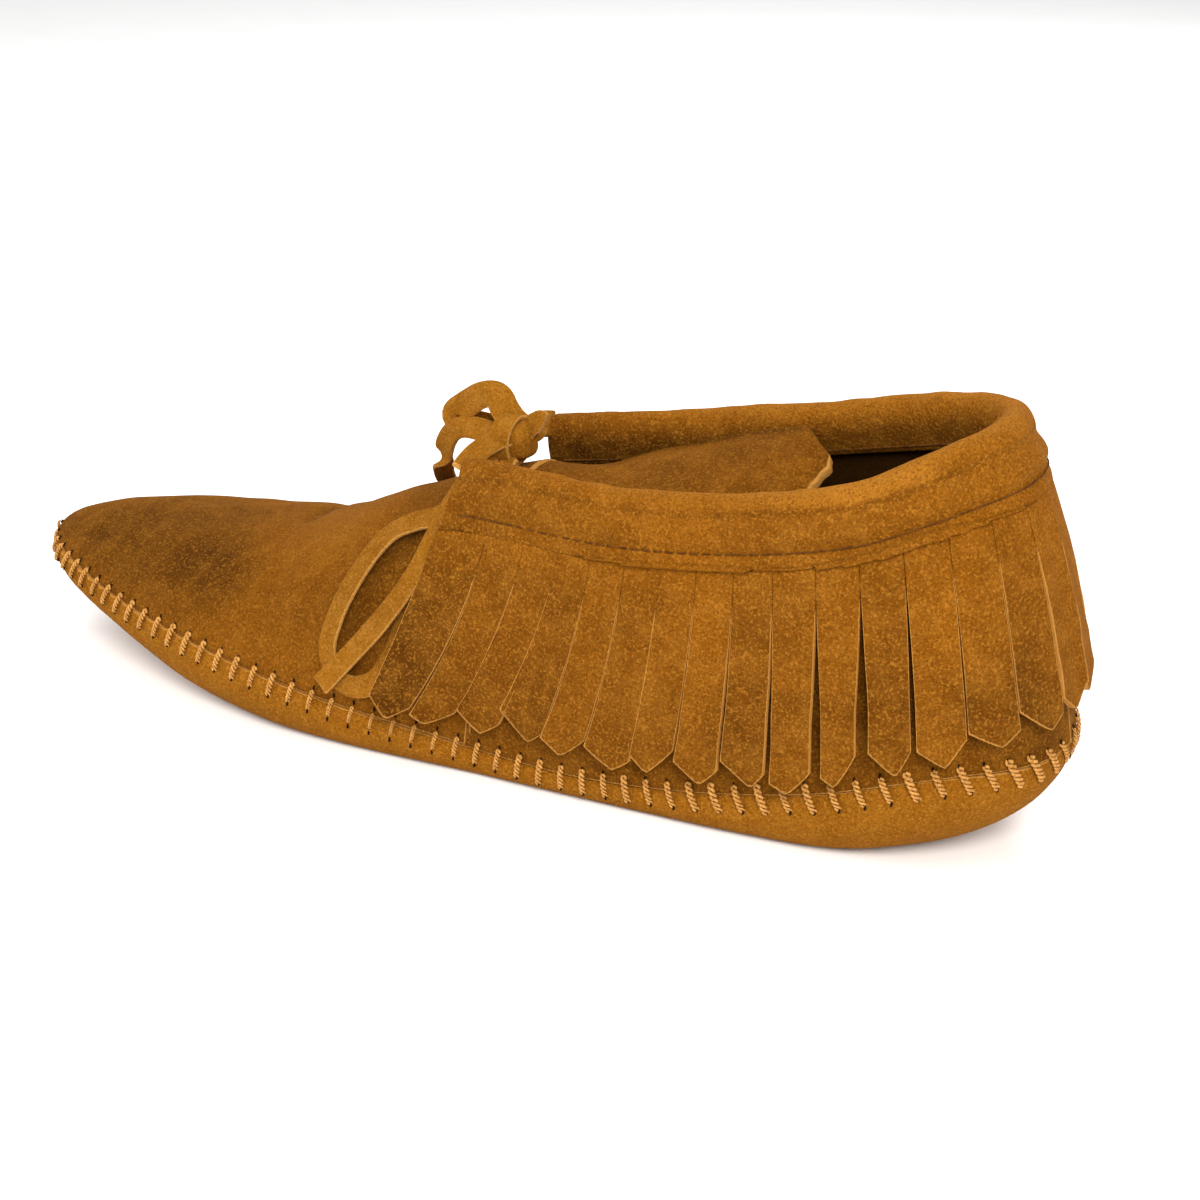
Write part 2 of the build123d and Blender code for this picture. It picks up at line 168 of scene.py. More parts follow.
HALF_OUTER = [(-132, 3.5), (-130.5, 6.4), (-126.5, 11), (-117, 17.2), (-98, 25.5), (-75, 32),
              (-50, 35.5), (-25, 34.5), (0, 32), (8, 31.6)]
HALF_INNER = [(-132, 3.5), (-130.5, 7), (-126.5, 12.8), (-117, 20.2), (-98, 29.2), (-75, 35.5),
              (-50, 38), (-25, 36.5), (0, 33.3), (8, 32.8)]
WALL_FOOT = [(-19, -33.9, 10), (-8, -32.8, 8.8), (10, -31.5, 7), (30, -30.7, 6), (50, -30.2, 7.5),
             (70, -30.1, 11), (88, -29.6, 15.5), (103, -28, 20.5), (115, -24, 23.5),
             (124, -17.5, 24.3), (129.2, -9.5, 24.3), (131, 0, 24.3)]
WALL_TOP = [(-5, -19.5), (4, -20.5), (15, -22), (32, -24), (48, -25), (64, -25.5), (78.5, -25),
            (90.5, -22.8), (100, -18.8), (107.3, -13.2), (111.6, -6.8), (112.9, 0)]
RIM_OUTER_Z = [69.5, 71, 71.4, 71.6, 72.7, 75.2, 78.2, 81.6, 86, 89.4, 91, 91.6]
RIM_INNER_Z = [67, 69, 70.6, 73.2, 76.2, 79.6, 83, 86.2, 88.9, 90.6, 91.3, 91.6]
SLIT_Z = [56, 57, 57, 57.5, 59.5, 62, 64.5, 69, 74, 76, 77, 77]
TIP_Z = [15, 14.5, 14, 13.5, 13.5, 15, 19, 24.5, 29, 32, 34, 35]
WALL_BULGE = 2.2
LAST_STATION = 11


def curve(pairs):
    """A smooth function through (x, value) pairs that also takes arrays."""
    xs = np.array([p[0] for p in pairs], float)
    ys = np.array([p[1] for p in pairs], float)
    last = len(xs) - 1
    lower = [max(k - 1, 0) for k in range(last + 1)]
    upper = [min(k + 1, last) for k in range(last + 1)]
    slope = (ys[upper] - ys[lower]) / (xs[upper] - xs[lower])

    def value(x):
        x = np.clip(x, xs[0], xs[-1])
        i = np.clip(np.searchsorted(xs, x, "right") - 1, 0, last - 1)
        h = xs[i + 1] - xs[i]
        t = (x - xs[i]) / h
        return ((2 * t**3 - 3 * t**2 + 1) * ys[i] + (t**3 - 2 * t**2 + t) * h * slope[i]
                + (3 * t**2 - 2 * t**3) * ys[i + 1] + (t**3 - t**2) * h * slope[i + 1])

    return value


def steps(values):
    return curve(list(enumerate(values)))


seam_z, ridge_z = curve(SEAM_Z), curve(RIDGE_Z)
half_outer, half_inner = curve(HALF_OUTER), curve(HALF_INNER)
slit_z, tip_z = steps(SLIT_Z), steps(TIP_Z)
foot_of = [steps([p[k] for p in WALL_FOOT]) for k in range(3)]
rim_xy = [steps([p[k] for p in WALL_TOP]) for k in range(2)]
rim_height = {1: steps(RIM_OUTER_Z), -1: steps(RIM_INNER_Z)}


def rim(u, side):
    """The top line of the walls at station u, for the outer side (1) or the inner side (-1)."""
    return [rim_xy[0](u), rim_xy[1](u), rim_height[side](u)]


def wall_normal(u):
    a, b = np.maximum(u - 0.05, 0), np.minimum(u + 0.05, LAST_STATION)
    dx, dy = foot_of[0](b) - foot_of[0](a), foot_of[1](b) - foot_of[1](a)
    d = np.hypot(dx, dy)
    nx, ny = dy / d, -dx / d
    end = np.asarray(u) > LAST_STATION - 0.05
    return np.where(end, 1.0, nx), np.where(end, 0.0, ny)


def wall(u, z, side, stand):
    """Points of the side wall at station u and height z, moved outward by stand."""
    u, z = np.broadcast_arrays(np.asarray(u, float), np.asarray(z, float))
    foot, top = [f(u) for f in foot_of], rim(u, side)
    v = (z - foot[2]) / (top[2] - foot[2])
    out = WALL_BULGE * np.sin(np.pi * np.clip(v, 0, 1)) + stand
    nx, ny = wall_normal(u)
    x = foot[0] + (top[0] - foot[0]) * v + nx * out
    y = foot[1] + (top[1] - foot[1]) * v + ny * out
    return np.stack([x, side * y, z], -1)


print("seam height at the toe, waist and heel:",
      [round(float(seam_z(x)), 1) for x in (-130, 30, 130)])

# %% [markdown]
# ## Mesh helpers
# Most pieces are sheets of leather, so one helper makes a closed sheet.
# It takes the face points and the back points as two grids of the same size.
# The rim joins them, and a value called edge marks where the leather is cut.
# A Solidify modifier could add the thickness too.
# Two grids are used because the face and the back can then have different tones.

# %% Mesh helpers
def new_piece(name, points, faces, edge=None, flat=0):
    """A mesh object; its last flat faces are cut edges, which are shaded flat."""
    mesh = bpy.data.meshes.new(name)
    mesh.from_pydata((np.asarray(points) * MM).tolist(), [], faces)
    mesh.validate()
    if edge is not None:
        layer = mesh.attributes.new("edge", "FLOAT", "POINT")
        layer.data.foreach_set("value", np.asarray(edge, np.float32).ravel())
    mesh.polygons.foreach_set("use_smooth",
                              [k < len(faces) - flat for k in range(len(mesh.polygons))])
    obj = bpy.data.objects.new(name, mesh)
    bpy.context.scene.collection.objects.link(obj)
    outward(obj)
    return obj


def outward(obj):
    """Turns the faces so that their normals point out of the solid."""
    work = bmesh.new()
    work.from_mesh(obj.data)
    bmesh.ops.recalc_face_normals(work, faces=work.faces)
    if work.calc_volume(signed=True) < 0:
        bmesh.ops.reverse_faces(work, faces=work.faces)
    work.to_mesh(obj.data)
    work.free()


def grid_faces(rows, cols, start=0, wrap=False):
    out = []
    span = cols if wrap else cols - 1
    for r in range(rows - 1):
        for c in range(span):
            d = (c + 1) % cols
            out.append((start + r * cols + c, start + r * cols + d,
                        start + (r + 1) * cols + d, start + (r + 1) * cols + c))
    return out


def sheet_mesh(name, front, rear, edge=None):
    """A closed sheet between two grids of points."""
    rows, cols = front.shape[:2]
    n = rows * cols
    points = np.concatenate([front.reshape(-1, 3), rear.reshape(-1, 3)])
    faces = grid_faces(rows, cols) + [tuple(reversed(f)) for f in grid_faces(rows, cols, n)]
    rim = ([(0, c) for c in range(cols)] + [(r, cols - 1) for r in range(1, rows)]
           + [(rows - 1, c) for c in range(cols - 2, -1, -1)]
           + [(r, 0) for r in range(rows - 2, 0, -1)])
    ids = [r * cols + c for r, c in rim]
    for k, i in enumerate(ids):
        j = ids[(k + 1) % len(ids)]
        faces.append((i, n + i, n + j, j))
    if edge is None:
        edge = np.zeros((rows, cols))
        edge[0], edge[-1], edge[:, 0], edge[:, -1] = 1, 1, 1, 1
    return new_piece(name, points, faces, np.concatenate([edge.ravel(), edge.ravel()]), len(ids))


def crowd(n, share=0.06):
    """Numbers from 0 to 1, crowded at both ends so that edges stay crisp."""
    t = np.linspace(0, 1, n - 4)
    near_ends = [share * 0.25, share * 0.6, 1 - share * 0.6, 1 - share * 0.25]
    return np.unique(np.concatenate([t, near_ends]))


def normals_of(grid):
    du = np.gradient(grid, axis=0)
    dv = np.gradient(grid, axis=1)
    n = np.cross(du, dv)
    return n / np.maximum(np.linalg.norm(n, axis=-1, keepdims=True), 1e-9)


def ripple(points, scale, seed=0.0):
    """Smooth noise from about -1 to 1 at each point, with bumps about scale wide."""
    flat = np.asarray(points).reshape(-1, 3)
    out = [noise.noise(Vector(p) / scale + Vector((seed, seed * 0.7, -seed))) for p in flat]
    return np.array(out).reshape(np.asarray(points).shape[:-1])


print("helpers ready")

# %% [markdown]
# ## Suede as a shared node group
# Suede has a short nap, so its colour breaks up at three sizes.
# There are speckles under a millimetre wide, brushed patches and broad clouds.
# Cut edges are paler, and the edge value on the mesh says where they are.
# Each material could have its own copy of these nodes.
# One shared group is easier to change, and it gives only a colour and a height.
# The shader stays in each material.

# %% Suede group
def linear(r, g, b):
    """Linear colour from ordinary 0 to 255 values."""
    def one(v):
        v /= 255
        return v / 12.92 if v <= 0.04045 else ((v + 0.055) / 1.055) ** 2.4
    return (one(r), one(g), one(b), 1.0)


def socket(tree, name, kind, way, value=None):
    made = tree.interface.new_socket(name=name, socket_type=kind, in_out=way)
    if value is not None:
        made.default_value = value
    return made


def math_node(tree, operation, a, b=0.0):
    node = tree.nodes.new("ShaderNodeMath")
    node.operation = operation
    for slot_in, value in zip(node.inputs, (a, b)):
        if isinstance(value, (int, float)):
            slot_in.default_value = value
        else:
            tree.links.new(value, slot_in)
    return node.outputs[0]


def noise_node(tree, vector, scale, detail=3.0, rough=0.55, distortion=0.0):
    node = tree.nodes.new("ShaderNodeTexNoise")
    node.inputs["Scale"].default_value = scale
    node.inputs["Detail"].default_value = detail
    node.inputs["Roughness"].default_value = rough
    node.inputs["Distortion"].default_value = distortion
    tree.links.new(vector, node.inputs["Vector"])
    return node.outputs["Fac"]


def ramp_between(tree, value, low, high):
    node = tree.nodes.new("ShaderNodeMapRange")
    node.inputs["From Min"].default_value = low
    node.inputs["From Max"].default_value = high
    tree.links.new(value, node.inputs["Value"])
    return node.outputs["Result"]


def mix_colour(tree, factor, a, b):
    node = tree.nodes.new("ShaderNodeMix")
    node.data_type = "RGBA"
    sockets = (node.inputs["Factor"], node.inputs[6], node.inputs[7])
    for slot_in, value in zip(sockets, (factor, a, b)):
        if isinstance(value, (int, float, tuple)):
            slot_in.default_value = value
        else:
            tree.links.new(value, slot_in)
    return node.outputs[2]


def build_suede_group():
    tree = bpy.data.node_groups.new("Suede", "ShaderNodeTree")
    socket(tree, "Vector", "NodeSocketVector", "INPUT")
    socket(tree, "Colour", "NodeSocketColor", "INPUT", linear(150, 92, 32))
    socket(tree, "Dark", "NodeSocketColor", "INPUT", linear(96, 54, 12))
    socket(tree, "Light", "NodeSocketColor", "INPUT", linear(190, 130, 62))
    socket(tree, "Cut edge", "NodeSocketColor", "INPUT", linear(196, 144, 84))
    socket(tree, "Speckle", "NodeSocketFloat", "INPUT", 1.0)
    socket(tree, "Wear", "NodeSocketFloat", "INPUT", 1.0)
    socket(tree, "Edge", "NodeSocketFloat", "INPUT", 0.0)
    socket(tree, "Tone", "NodeSocketFloat", "INPUT", 0.0)
    socket(tree, "Shade", "NodeSocketFloat", "INPUT", 0.0)
    socket(tree, "Colour", "NodeSocketColor", "OUTPUT")
    socket(tree, "Height", "NodeSocketFloat", "OUTPUT")
    into = tree.nodes.new("NodeGroupInput")
    out = tree.nodes.new("NodeGroupOutput")
    vector = into.outputs["Vector"]
    speck = noise_node(tree, vector, 2100, 2, 0.6)
    grain = noise_node(tree, vector, 1700, 2, 0.6)
    brushed = noise_node(tree, vector, 150, 4, 0.65, 1.0)
    cloud = noise_node(tree, vector, 30, 4, 0.6, 0.6)
    dark_specks = math_node(tree, "MULTIPLY", ramp_between(tree, speck, 0.52, 0.38),
                            into.outputs["Speckle"])
    light_specks = math_node(tree, "MULTIPLY", ramp_between(tree, grain, 0.52, 0.68),
                             into.outputs["Speckle"])
    patches = math_node(tree, "MULTIPLY", ramp_between(tree, brushed, 0.42, 0.64),
                        into.outputs["Wear"])
    shade = math_node(tree, "MULTIPLY", ramp_between(tree, cloud, 0.54, 0.34), into.outputs["Wear"])
    # A positive Tone mixes towards Dark: real marks on some pieces, painted shade in creases,
    # grooves and the inside on others.
    shade = math_node(tree, "ADD", math_node(tree, "MULTIPLY", shade, 0.38), into.outputs["Tone"])
    base = mix_colour(tree, shade, into.outputs["Colour"], into.outputs["Dark"])
    # A negative Tone mixes towards Light; the band uses it for a painted highlight.
    lighter = math_node(tree, "MULTIPLY", into.outputs["Tone"], -1.0)
    raised = math_node(tree, "MULTIPLY", math_node(tree, "MAXIMUM", lighter, 0.0), 0.7)
    base = mix_colour(tree, raised, base, into.outputs["Light"])
    base = mix_colour(tree, math_node(tree, "MULTIPLY", patches, 0.20), base, into.outputs["Light"])
    base = mix_colour(tree, math_node(tree, "MULTIPLY", dark_specks, 0.50), base,
                      into.outputs["Dark"])
    base = mix_colour(tree, math_node(tree, "MULTIPLY", light_specks, 0.45), base,
                      into.outputs["Light"])
    fuzzy = math_node(tree, "ADD", into.outputs["Edge"], math_node(tree, "MULTIPLY", grain, 0.5))
    cut = ramp_between(tree, fuzzy, 0.80, 1.15)
    base = mix_colour(tree, math_node(tree, "MULTIPLY", cut, 0.8), base, into.outputs["Cut edge"])
    # Painted shade: the Shade value mixes the colour towards near black.
    base = mix_colour(tree, into.outputs["Shade"], base, linear(9, 5, 1))
    tree.links.new(base, out.inputs["Colour"])
    height = math_node(tree, "ADD", math_node(tree, "MULTIPLY", grain, 0.7),
                       math_node(tree, "MULTIPLY", speck, 0.5))
    height = math_node(tree, "ADD", height, math_node(tree, "MULTIPLY", brushed, 0.9))
    tree.links.new(height, out.inputs["Height"])
    return tree


SUEDE = build_suede_group()
print("suede group has", len(SUEDE.nodes), "nodes")

# %% [markdown]
# The parts of the shoe look like one kind of suede in slightly different colours.
# So every suede material uses the group with its own colours.
# The shader adds a soft sheen, which is the light that nap scatters at its tips.

# %% Suede materials
def attribute_value(tree, name):
    node = tree.nodes.new("ShaderNodeAttribute")
    node.attribute_type = "GEOMETRY"
    node.attribute_name = name
    return node.outputs["Fac"]


def new_material(name):
    material = bpy.data.materials.new(name)
    material.use_nodes = True
    return material, material.node_tree, material.node_tree.nodes["Principled BSDF"]


def suede(name, colour, dark, light, cut=(196, 140, 68), speckle=1.0, wear=1.0, bump=0.6):
    material, tree, shader = new_material(name)
    coords = tree.nodes.new("ShaderNodeTexCoord")
    group = tree.nodes.new("ShaderNodeGroup")
    group.node_tree = SUEDE
    tree.links.new(coords.outputs["Object"], group.inputs["Vector"])
    for key, value in (("Colour", colour), ("Dark", dark), ("Light", light), ("Cut edge", cut)):
        group.inputs[key].default_value = linear(*value)
    group.inputs["Speckle"].default_value = speckle
    group.inputs["Wear"].default_value = wear
    tree.links.new(attribute_value(tree, "edge"), group.inputs["Edge"])
    tree.links.new(attribute_value(tree, "tone"), group.inputs["Tone"])
    tree.links.new(attribute_value(tree, "shade"), group.inputs["Shade"])
    relief = tree.nodes.new("ShaderNodeBump")
    relief.inputs["Strength"].default_value = bump
    relief.inputs["Distance"].default_value = 0.0008
    tree.links.new(group.outputs["Height"], relief.inputs["Height"])
    tree.links.new(group.outputs["Colour"], shader.inputs["Base Color"])
    tree.links.new(relief.outputs["Normal"], shader.inputs["Normal"])
    shader.inputs["Roughness"].default_value = 0.92
    shader.inputs["Specular IOR Level"].default_value = 0.04
    shader.inputs["Sheen Weight"].default_value = 0.10
    shader.inputs["Sheen Roughness"].default_value = 0.45
    shader.inputs["Sheen Tint"].default_value = linear(206, 138, 44)
    return material


UPPER = suede("upper_suede", (112, 65, 8), (66, 35, 2), (160, 104, 32))
FRINGE = suede("fringe_suede", (122, 71, 9), (72, 39, 3), (172, 114, 38))
SOLE = suede("sole_suede", (128, 77, 12), (84, 48, 4), (178, 122, 42), wear=0.8)
# The inner suede is a darker copy of the upper suede: painted shade for the inside of the shoe.
INSIDE = suede("inner_suede", (100, 58, 7), (52, 27, 1), (146, 94, 30))
LACE = suede("lace_suede", (134, 84, 16), (86, 50, 6), (180, 126, 54), cut=(196, 144, 76),
             speckle=0.8)
print("made", [m.name for m in (UPPER, FRINGE, SOLE, INSIDE, LACE)])

# %% [markdown]
# The thread, the foam pad and the floor have simpler materials.
# One function makes them all: a fine noise mixes two colours and roughens the surface.

# %% Thread, foam and floor
def plain(name, light, dark, scale, roughness=0.8, bump=0.3):
    material, tree, shader = new_material(name)
    coords = tree.nodes.new("ShaderNodeTexCoord")
    fine = noise_node(tree, coords.outputs["Object"], scale, 4, 0.6)
    colour = mix_colour(tree, ramp_between(tree, fine, 0.3, 0.7), linear(*dark), linear(*light))
    tree.links.new(colour, shader.inputs["Base Color"])
    relief = tree.nodes.new("ShaderNodeBump")
    relief.inputs["Strength"].default_value = bump
    relief.inputs["Distance"].default_value = 0.0003
    tree.links.new(fine, relief.inputs["Height"])
    tree.links.new(relief.outputs["Normal"], shader.inputs["Normal"])
    shader.inputs["Roughness"].default_value = roughness
    shader.inputs["Specular IOR Level"].default_value = 0.1
    return material


THREAD = plain("waxed_thread", (206, 152, 80), (140, 90, 36), 1500, 0.6)
SEAM_THREAD = plain("seam_thread", (104, 62, 16), (58, 31, 6), 500, 0.9)
# The needle holes are dark stubs: painted shade inside the holes.
HOLE = plain("needle_hole", (44, 24, 5), (22, 12, 2), 600, 0.95)
FOAM = plain("foam", (214, 196, 160), (186, 164, 124), 700, 0.9)
FLOOR = plain("floor_paper", (250, 250, 250), (247, 247, 247), 30, 0.9, 0.02)
print("made", [m.name for m in (THREAD, SEAM_THREAD, HOLE, FOAM, FLOOR)])

# %% [markdown]
# ## Finishing a piece
# One helper gives every finished piece its material and hides the CAD node that it stands for.
# It also puts the piece under its body, unless it is given none.
# The tone value lets one material be darker or lighter from point to point.

# %% Finishing a piece
def finish_piece(obj, material, node, body="root"):
    obj.data.materials.clear()
    obj.data.materials.append(material)
    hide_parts(*([node] if isinstance(node, str) else node))
    if body:
        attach(obj, body)
    return obj


def set_tone(obj, values, kind="tone"):
    """Stores a darker (above 0) or lighter (below 0) tone, or how deep in the shade a point is."""
    layer = obj.data.attributes.new(kind, "FLOAT", "POINT")
    layer.data.foreach_set("value", np.asarray(values, np.float32).ravel())


print("two more helpers ready")

# %% [markdown]
# ## The sole
# The sole is one piece of suede that turns up round the foot.
# At the toe its edge is gathered, so it ripples between the stitches.
# It could be sculpted from a plane.
# It is built from rings instead, because each ring can follow the floor below and the seam above.

# %% Sole
AROUND = 616
SOLE_T = 1.8
FLOOR_TOP = 2.0
MIDDLE_X = 14
seam_loop = SEAM_OUTER + SEAM_INNER[::-1]
floor_loop = FLOOR_OUTER + FLOOR_INNER[::-1]


def closed(values):
    """A smooth periodic function through one value for each point of the loop."""
    n = len(values)
    padded = [(k, values[k % n]) for k in range(-4, n + 5)]
    f = curve(padded)
    return lambda u: f(np.mod(u, n))


loop_u = np.linspace(0, len(seam_loop), AROUND, endpoint=False)
seam_x, seam_y = (closed([p[k] for p in seam_loop])(loop_u) for k in range(2))
floor_x, floor_y = (closed([p[k] for p in floor_loop])(loop_u) for k in range(2))
rounding = closed([1.7 if x < -90 else 1.6 if x > 108 else 2.0 for x, y in seam_loop])(loop_u)
loop_step = np.hypot(np.roll(seam_x, -1) - seam_x, np.roll(seam_y, -1) - seam_y)
loop_run = np.concatenate([[0], np.cumsum(loop_step)[:-1]])
STITCHES = 113
PITCH = loop_step.sum() / STITCHES
gather = np.clip((-40 - seam_x) / 60, 0, 1)
print("seam is", round(loop_step.sum()), "mm long, pitch", round(PITCH, 2), "mm")


def turned_up(q, inset):
    """Ring of the sole's wall at a share q of the seam height."""
    t = (1 - (1 - q) ** rounding) ** (1 / rounding)
    x, y = floor_x + (seam_x - floor_x) * t, floor_y + (seam_y - floor_y) * t
    ring = np.stack([x, y, q * (seam_z(seam_x) - 0.1)], -1)
    ahead, behind = np.roll(ring, -1, 0), np.roll(ring, 1, 0)
    d = ahead - behind
    side = np.stack([d[:, 1], -d[:, 0], 0 * d[:, 0]], -1)
    side /= np.linalg.norm(side, axis=1, keepdims=True)
    per_stitch = np.cos(2 * np.pi * loop_run / PITCH)
    wave = 0.42 * (0.25 + gather) * per_stitch * np.clip((q - 0.5) * 2, 0, 1)
    roll = 0.5 * np.clip((q - 0.88) / 0.12, 0, 1) ** 2
    bulge = 0.9 * math.sin(math.pi * q)
    ring += side * (wave - roll - inset + bulge + 0.35 * ripple(ring, 14) * min(q * 3, 1))[:, None]
    return ring


rings = []
for share in (0.15, 0.4, 0.65, 0.85, 0.95):
    inner_x = MIDDLE_X + (floor_x - MIDDLE_X) * share
    rings.append(np.stack([inner_x, floor_y * share, 0 * floor_x], -1))
heights = np.concatenate([np.linspace(0, 1, 26) ** 1.4, [0.97, 0.985]])
heights.sort()
for q in heights:
    rings.append(turned_up(q, 0.0))
for q in (1.0, 0.9, 0.7, 0.5, 0.3, 0.12):
    ring = turned_up(q, SOLE_T)
    ring[:, 2] = np.maximum(ring[:, 2], FLOOR_TOP + 0.1 * q)
    rings.append(ring)
for share in (0.8, 0.4, 0.1):
    inner_x = MIDDLE_X + (floor_x - MIDDLE_X) * share
    rings.append(np.stack([inner_x, floor_y * share, 0 * floor_x + FLOOR_TOP], -1))
ring_count = len(rings)
points = np.concatenate(rings + [[[MIDDLE_X, 0, 0]], [[MIDDLE_X, 0, FLOOR_TOP]]])
faces = grid_faces(ring_count, AROUND, wrap=True)
low, high = ring_count * AROUND, ring_count * AROUND + 1
for k in range(AROUND):
    n = (k + 1) % AROUND
    faces.append((low, n, k))
    faces.append((high, (ring_count - 1) * AROUND + k, (ring_count - 1) * AROUND + n))
edge = np.zeros((ring_count, AROUND))
CUT_RINGS = slice(32, 35)
edge[CUT_RINGS] = 0.8
sole = new_piece("sole", points, faces, np.append(edge.ravel(), [0, 0]))
finish_piece(sole, SOLE, "sole_cup")
print("sole has", len(sole.data.polygons), "faces")

# %% [markdown]
# ## The insole
# A thin foam pad and its suede cover fill the bottom of the sole.
# They are inside the shoe and hardly show, so a few rings are enough for each.

# %% Insole
def inner_outline(z, inset):
    q = np.clip(z / seam_z(seam_x), 0, 1)
    t = (1 - (1 - q) ** rounding) ** (1 / rounding)
    x = floor_x + (seam_x - floor_x) * t
    y = floor_y + (seam_y - floor_y) * t
    d = np.stack([np.roll(y, -1) - np.roll(y, 1), np.roll(x, 1) - np.roll(x, -1)], -1)
    d /= np.linalg.norm(d, axis=1, keepdims=True)
    return x - d[:, 0] * inset, y - d[:, 1] * inset


def pad_piece(name, z0, z1, inset, shape_z):
    x, y = inner_outline(shape_z, inset)
    rings = []
    underside = ((0.3, z0), (0.97, z0), (1.0, z0 + 0.3))
    top_side = ((1.0, z1 - 0.3), (0.985, z1), (0.8, z1), (0.3, z1))
    for share, z in underside + top_side:
        rings.append(np.stack([MIDDLE_X + (x - MIDDLE_X) * share, y * share, 0 * x + z], -1)[::4])
    n = len(rings[0])
    points = np.concatenate(rings + [[[MIDDLE_X, 0, z0]], [[MIDDLE_X, 0, z1]]])
    faces = grid_faces(len(rings), n, wrap=True)
    base = len(rings) * n
    for k in range(n):
        faces.append((base, (k + 1) % n, k))
        faces.append((base + 1, base - n + k, base - n + (k + 1) % n))
    return new_piece(name, points, faces)


pad = pad_piece("foam_pad", 2.5, 6.5, 2.8, 0.3)
finish_piece(pad, FOAM, "insole_pad")
cover = pad_piece("insole", 6.6, 7.6, 3.6, 4.4)
finish_piece(cover, INSIDE, "insole_cover")
print("insole pieces:", pad.name, cover.name)

# %% [markdown]
# ## The vamp
# The vamp is a dome of suede from the stitched toe to the instep.
# A soft crease crosses it where the instep begins, and there are dark smudges on the toe.
# Cloth simulation could drape it, but the result would be hard to fit to the seam.
# An arch at each place along the shoe follows the seam exactly.

# %% Vamp
VAMP_T = 1.7


def vamp_point(x, angle, inset=0.0):
    """Points of the dome; the angle runs from 0 on the outer side to pi on the inner side."""
    outer, inner = half_outer(x) - inset, half_inner(x) - inset
    base, top = seam_z(x) - 3, ridge_z(x) - inset
    mid, half = (inner - outer) / 2, (inner + outer) / 2
    lift = np.sin(angle) ** 1.05
    return np.stack([x + 0 * angle, mid - half * np.cos(angle), base + (top - base) * lift], -1)


xs = np.concatenate([[-132, -131.6, -131, -130, -128.5, -126.5], np.linspace(-124, 7, 116)])
start = np.arcsin(np.clip(3.3 / (ridge_z(xs) - seam_z(xs) + 3), 0, 0.97) ** (1 / 1.05))
spread = crowd(96, 0.04)
angles = start[:, None] + (np.pi - 2 * start[:, None]) * spread[None, :]
dome = vamp_point(xs[:, None] + 0 * angles, angles)
normal = normals_of(dome)
normal *= np.sign((normal[..., 2] * (dome[..., 2] - 20)).sum())
near_seam = np.minimum(spread, 1 - spread)[None, :] * (np.pi * 30)
roll = 0.6 * np.clip(1 - near_seam / 3.0, 0, 1) ** 2
outer_x, outer_run = seam_x[:300:2], loop_run[:300:2]
by_x = np.argsort(outer_x)
along_edge = np.interp(xs, outer_x[by_x], outer_run[by_x])
pucker = 0.30 * np.cos(2 * np.pi * along_edge / PITCH)[:, None] * np.clip(1 - near_seam / 7, 0, 1)
pucker = pucker * np.clip((-45 - xs) / 50, 0, 1)[:, None]
crease_across = np.exp(-((xs[:, None] + 55 + 9 * (spread - 0.5)) / 3.2) ** 2)
crease = -1.6 * crease_across * np.exp(-((spread - 0.56) / 0.13) ** 2)
soft = 0.9 * ripple(dome, 26, 3.0) + 0.35 * ripple(dome, 9, 5.0)
dome = dome + normal * (soft * np.clip(near_seam / 10, 0, 1) - roll + pucker + crease)[..., None]
vamp = sheet_mesh("vamp_leather", dome, dome - normal * VAMP_T)


def smudge(x, x_wide, spot, wide, depth):
    """A dark mark on the vamp at x, and at a share spot of the way over the dome."""
    return depth * np.exp(-((xs[:, None] - x) / x_wide) ** 2 - ((spread - spot) / wide) ** 2)


tone = smudge(-69, 11, 0.25, 0.10, 1.0) + smudge(-98, 22, 0.24, 0.22, 0.55)
tone = tone + smudge(-80, 16, 0.42, 0.12, 0.4)
tone = tone + smudge(-12, 16, 0.45, 0.3, 0.45) + smudge(-30, 18, 0.18, 0.1, 0.3)
toward_toe = 0.25 * np.clip((-60 - xs) / 50, 0, 1)[:, None]
# Painted shade: the last term paints the tone darker along the crease.
tone = tone + toward_toe + 0.4 * np.exp(-(crease / 0.8 + 1.6) ** 2 * 3)
tone = tone - 0.3 * np.exp(-((xs[:, None] + 38) / 14) ** 2) * np.exp(-((spread - 0.36) / 0.14) ** 2)
tone = tone + 0.25 * np.clip(1 - near_seam / 2.0, 0, 1)
set_tone(vamp, np.concatenate([tone.ravel(), tone.ravel()]))
finish_piece(vamp, UPPER, "vamp")
print("vamp has", len(vamp.data.polygons), "faces")

# %% [markdown]
# ## The side walls
# The two quarters are behind the fringe, and they meet at the back of the heel.
# Each is a sheet 1.7 mm thick between the seam and the rim.

# %% Side walls
QUARTER_FACE, QUARTER_BACK = -0.2, -1.9


def quarter(name, side):
    u = np.linspace(1.75, 10.98, 150)
    share = crowd(26, 0.05)
    foot, top = foot_of[2](u) + 0.3, rim_height[side](u) - 6
    z = foot[:, None] + (top - foot)[:, None] * share[None, :]
    front = wall(u[:, None] + 0 * z, z, side, QUARTER_FACE)
    rear = wall(u[:, None] + 0 * z, z, side, QUARTER_BACK)
    return sheet_mesh(name, front, rear)


for name, side in (("outer_quarter", 1), ("inner_quarter", -1)):
    piece = quarter(name + "_leather", side)
    count = len(piece.data.vertices) // 2
    # Painted shade: the face, behind the fringe, is painted darker, and the back, inside the shoe,
    # is painted almost black.
    set_tone(piece, np.concatenate([np.full(count, 0.45), np.zeros(count)]))
    set_tone(piece, np.concatenate([np.zeros(count), np.full(count, 0.9)]), "shade")
    finish_piece(piece, UPPER, name)
print("quarters done")

# %% [markdown]
# ## The collar band
# The band folds over the top edge, and the lace runs inside the fold.
# The fold is puffy, and a stitch row pulls it in below the lace.
# A bevelled curve would give the fold alone.
# One profile swept round the ankle gives the fold, the stitched groove and the skirt together.

